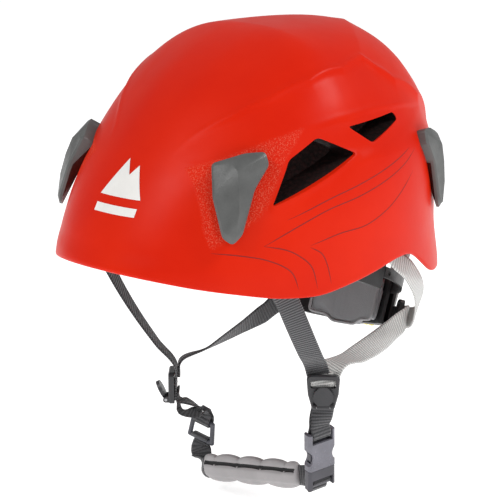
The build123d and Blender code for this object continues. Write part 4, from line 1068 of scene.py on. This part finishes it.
def make_chin_pad():
    """The moulded sleeve: a lobed pad with a groove along its front, whose faces are painted near-black as
    painted shade in the slot.
    """
    along, inward, upright = chin_axes()
    middle = (PAD_ENDS[0] + PAD_ENDS[1]) / 2.0
    half = np.linalg.norm(PAD_ENDS[0] - PAD_ENDS[1]) / 2.0
    steps, round_steps = 120, 72
    points = []
    for k in range(steps + 1):
        share = 2.0 * k / steps - 1.0
        end = (1.0 - abs(share) ** 14) ** 0.5 * 0.4 + 0.6
        upper, lower = (CHIN_HEIGHT + CHIN_LOBE * abs(math.sin(math.pi * (share * waves + 0.5))) ** 0.45
                        for waves in (2.0, 1.5))
        for j in range(round_steps):
            angle = 2.0 * math.pi * j / round_steps
            c, s = math.cos(angle), math.sin(angle)
            high = (upper if s > 0 else lower) * end
            v = math.copysign(abs(s) ** 0.8, s) * high
            front = c > 0.3 and abs(share) < CHIN_SLOT_SHARE
            groove = CHIN_SLOT_DEPTH * math.exp(-((v - CHIN_SLOT_HEIGHT) / 1.3) ** 4) if front else 0.0
            step = float(smooth(v - CHIN_SLOT_HEIGHT) + smooth((CHIN_BAND_FOOT - v) / 1.6))
            depth = (CHIN_DEPTH - CHIN_STEP * step) * abs(c) ** 0.6 * end - groove
            ahead = inward * depth * math.copysign(1.0, -c)
            points.append((middle + along * share * half + ahead + upright * v) * MM)
    faces = ring_faces(steps + 1, round_steps, capped=True)
    piece = make_piece("chin_cushion", points, faces, CHIN, "chin_loop")
    # The slot's faces take the near-black material as painted shade in the slot.
    piece.data.materials.append(CHIN_SLOT_SHADE)
    for face in piece.data.polygons:
        spot = np.array(face.center) / MM - middle
        in_slot = abs(spot @ upright - CHIN_SLOT_HEIGHT) < 1.2 and spot @ inward < -0.5
        if in_slot and abs(spot @ along) < half * CHIN_SLOT_SHARE:
            face.material_index = 1
    face_out(piece)
    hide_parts("chin_pad")


make_chin_pad()


# ---- cloth pads ----

PAD_INSET, PAD_SWELL, PAD_PRESSURE, PAD_FRAMES = 0.9 * MM, 2.2 * MM, 3.0, 14


def soften(piece, rounds):
    """Even out a pad's surface."""
    even = piece.modifiers.new("even", "SMOOTH")
    even.factor = 0.5
    even.iterations = rounds
    apply_modifiers(piece)


def places_of(piece):
    """The places of a piece's points, one row each."""
    places = np.empty(len(piece.data.vertices) * 3)
    piece.data.vertices.foreach_get("co", places)
    return places.reshape(-1, 3)


def swell(piece, start):
    """Blow a pad up as cloth under pressure, and cap how far each point moves."""
    cloth = piece.modifiers.new("cloth", "CLOTH")
    cloth.settings.use_pressure = True
    cloth.settings.uniform_pressure_force = PAD_PRESSURE
    cloth.settings.effector_weights.gravity = 0.0
    cloth.settings.tension_stiffness = 12.0
    cloth.settings.compression_stiffness = 6.0
    cloth.point_cache.frame_end = 20
    for step in range(1, PAD_FRAMES + 1):
        bpy.context.scene.frame_set(step)
    apply_modifiers(piece)
    bpy.context.scene.frame_set(1)
    move = places_of(piece) - start
    size = np.maximum(np.linalg.norm(move, axis=1, keepdims=True), 1e-9)
    capped = start + move * np.minimum(1.0, PAD_SWELL / size)
    piece.data.vertices.foreach_set("co", capped.ravel())


def puffed(name, node, body, material, voxel):
    """A cloth pad grown from a frame node's shape by a short pressure simulation."""
    mesh = bpy.data.objects[node].data.copy()
    mesh.materials.clear()
    piece = link_object(name, mesh)
    remesh = piece.modifiers.new("remesh", "REMESH")
    remesh.mode = "VOXEL"
    remesh.voxel_size = voxel
    soften(piece, 6)
    normals = np.array([v.normal[:] for v in piece.data.vertices])
    start = places_of(piece) - normals * PAD_INSET
    piece.data.vertices.foreach_set("co", start.ravel())
    swell(piece, start)
    soften(piece, 3)
    piece.data.materials.clear()
    piece.data.materials.append(material)
    piece.data.shade_smooth()
    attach(piece, body)
    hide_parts(node)
    return piece


puffed("nape_cushion", "nape_pad", "cradle", NAPE_CLOTH, 2.2 * MM)
puffed("brow_cushion", "brow_pad", "shell", NAPE_CLOTH, 2.8 * MM)
puffed("crown_cushions", "crown_pads", "shell", CROWN_CLOTH, 2.8 * MM)


# ---- piping of the nape pad ----

PIPE_RADIUS = 66.8
# The piping's corners, (degrees round the loop, height).
PIPE_PATH = [(-25.4, 14.4), (25.4, 14.4), (25.4, -15.8), (13.5, -16.2), (9.0, -20.0), (-9.0, -20.0),
             (-13.5, -16.2), (-25.4, -15.8)]


def nape_piping():
    """A corded edge round the face of the nape pad, on the head loop's cylinder."""
    corners = [(math.radians(angle) * PIPE_RADIUS, height) for angle, height in PIPE_PATH]
    outline = rounded(corners, 3.0, steps=6)
    route = bpy.data.curves.new("nape_piping", "CURVE")
    route.dimensions = "3D"
    route.bevel_depth = 1.0 * MM
    route.bevel_resolution = 3
    line = route.splines.new("POLY")
    spots = []
    for (x0, h0), (x1, h1) in zip(outline, outline[1:] + outline[:1]):
        count = max(1, round(math.hypot(x1 - x0, h1 - h0) / 2.0))
        spots += [(x0 + (x1 - x0) * k / count, h0 + (h1 - h0) * k / count) for k in range(count)]
    line.points.add(len(spots) - 1)
    for point, (x, height) in zip(line.points, spots):
        angle = x / PIPE_RADIUS
        place = in_loop(PIPE_RADIUS * math.sin(angle), PIPE_RADIUS * math.cos(angle), height) * MM
        point.co = (*place, 1.0)
    line.use_cyclic_u = True
    source = link_object("nape_piping_route", route)
    bpy.context.view_layer.update()
    mesh = bpy.data.meshes.new_from_object(source.evaluated_get(bpy.context.evaluated_depsgraph_get()))
    bpy.data.objects.remove(source)
    mesh.materials.clear()
    mesh.materials.append(PIPING)
    mesh.shade_smooth()
    piece = link_object("nape_piping", mesh)
    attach(piece, "cradle")


nape_piping()


# ---- materials of the frame's own parts ----

NODE_MATERIALS = [
    (FOAM, ("foam_liner",)),
    (BLACK, ("clip_studs", "headband", "arm_pegs", "nape_carrier", "carrier_cover", "adjuster_housing",
             "strap_guide", "strap_anchor", "rear_bracket", "dial_pinion")),
    (STEEL, ("anchor_rivets", "arm_pivot_pins", "dial_screw", "lever_pins")),
    (ARM, ("cradle_arm",)),
    (DIAL, ("adjuster_dial",)),
    (BAND, ("rack_band",)),
    (DIVIDER, ("divider",)),
    (BUCKLE, ("buckle_socket",)),
    (PLUG, ("buckle_plug", "plug_prong")),
    (RING, ("chin_ring",)),
]


def dress_frame():
    """Give each visible frame part its material."""
    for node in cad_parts:
        for material, starts in NODE_MATERIALS:
            if node.startswith(starts):
                for entry in bpy.data.objects[node].material_slots:
                    entry.material = material


dress_frame()


# ---- studio ----

CAMERA_AZIMUTH, CAMERA_ELEVATION = math.radians(45.8), math.radians(13.5)
CAMERA_DISTANCE, CAMERA_LENS = 1.5, 162.9
CAMERA_AIM = Vector((0.0, 0.0, -0.014))
FLOOR_DROP, FLOOR_SIZE = 0.012, 60.0
# Each light's place, size and power.
LIGHTS = {"key": ((-0.3, -1.6, 1.5), 0.7, 15.0), "side": ((1.7, -0.5, 0.8), 0.5, 3.5),
          "rear": ((1.1, 0.9, 1.5), 0.5, 17.0)}


def area_light(name, place, size, power):
    """A soft square light that looks at the helmet."""
    data = bpy.data.lights.new(name, "AREA")
    data.size = size
    data.energy = power
    light = link_object(name, data)
    light.location = place
    light.rotation_euler = (-Vector(place)).to_track_quat("-Z", "Y").to_euler()


def make_studio():
    """A pale floor, soft lights and the camera."""
    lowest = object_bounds()[0][2]
    material, tree, shader = new_material("floor_pale", grey(0.95), 0.95, specular=0.0)
    shader.inputs["Emission Color"].default_value = grey(1.0)
    shader.inputs["Emission Strength"].default_value = 0.6
    feed(tree, shader, "Base Color", ramp(tree, noise(tree, 6.0), grey(0.94), grey(0.96)))
    corners = [(x * FLOOR_SIZE, y * FLOOR_SIZE, lowest - FLOOR_DROP)
               for x, y in ((-1, -1), (1, -1), (1, 1), (-1, 1))]
    floor = make_piece("floor", corners, [(0, 1, 2, 3)], material, body=None)
    world = bpy.data.worlds.new("studio")
    world.use_nodes = True
    world.node_tree.nodes["Background"].inputs["Color"].default_value = (1.0, 1.0, 1.0, 1.0)
    world.node_tree.nodes["Background"].inputs["Strength"].default_value = 0.4
    bpy.context.scene.world = world
    bpy.context.scene.view_settings.view_transform = "Standard"
    for name, (place, size, power) in LIGHTS.items():
        area_light(name, place, size, power)
    back = Vector((math.sin(CAMERA_AZIMUTH) * math.cos(CAMERA_ELEVATION),
                   -math.cos(CAMERA_AZIMUTH) * math.cos(CAMERA_ELEVATION), math.sin(CAMERA_ELEVATION)))
    data = bpy.data.cameras.new("camera")
    data.lens = CAMERA_LENS
    data.sensor_width = 36.0
    camera = link_object("camera", data)
    camera.location = CAMERA_AIM + back * CAMERA_DISTANCE
    camera.rotation_euler = back.to_track_quat("Z", "Y").to_euler()
    bpy.context.scene.camera = camera


make_studio()
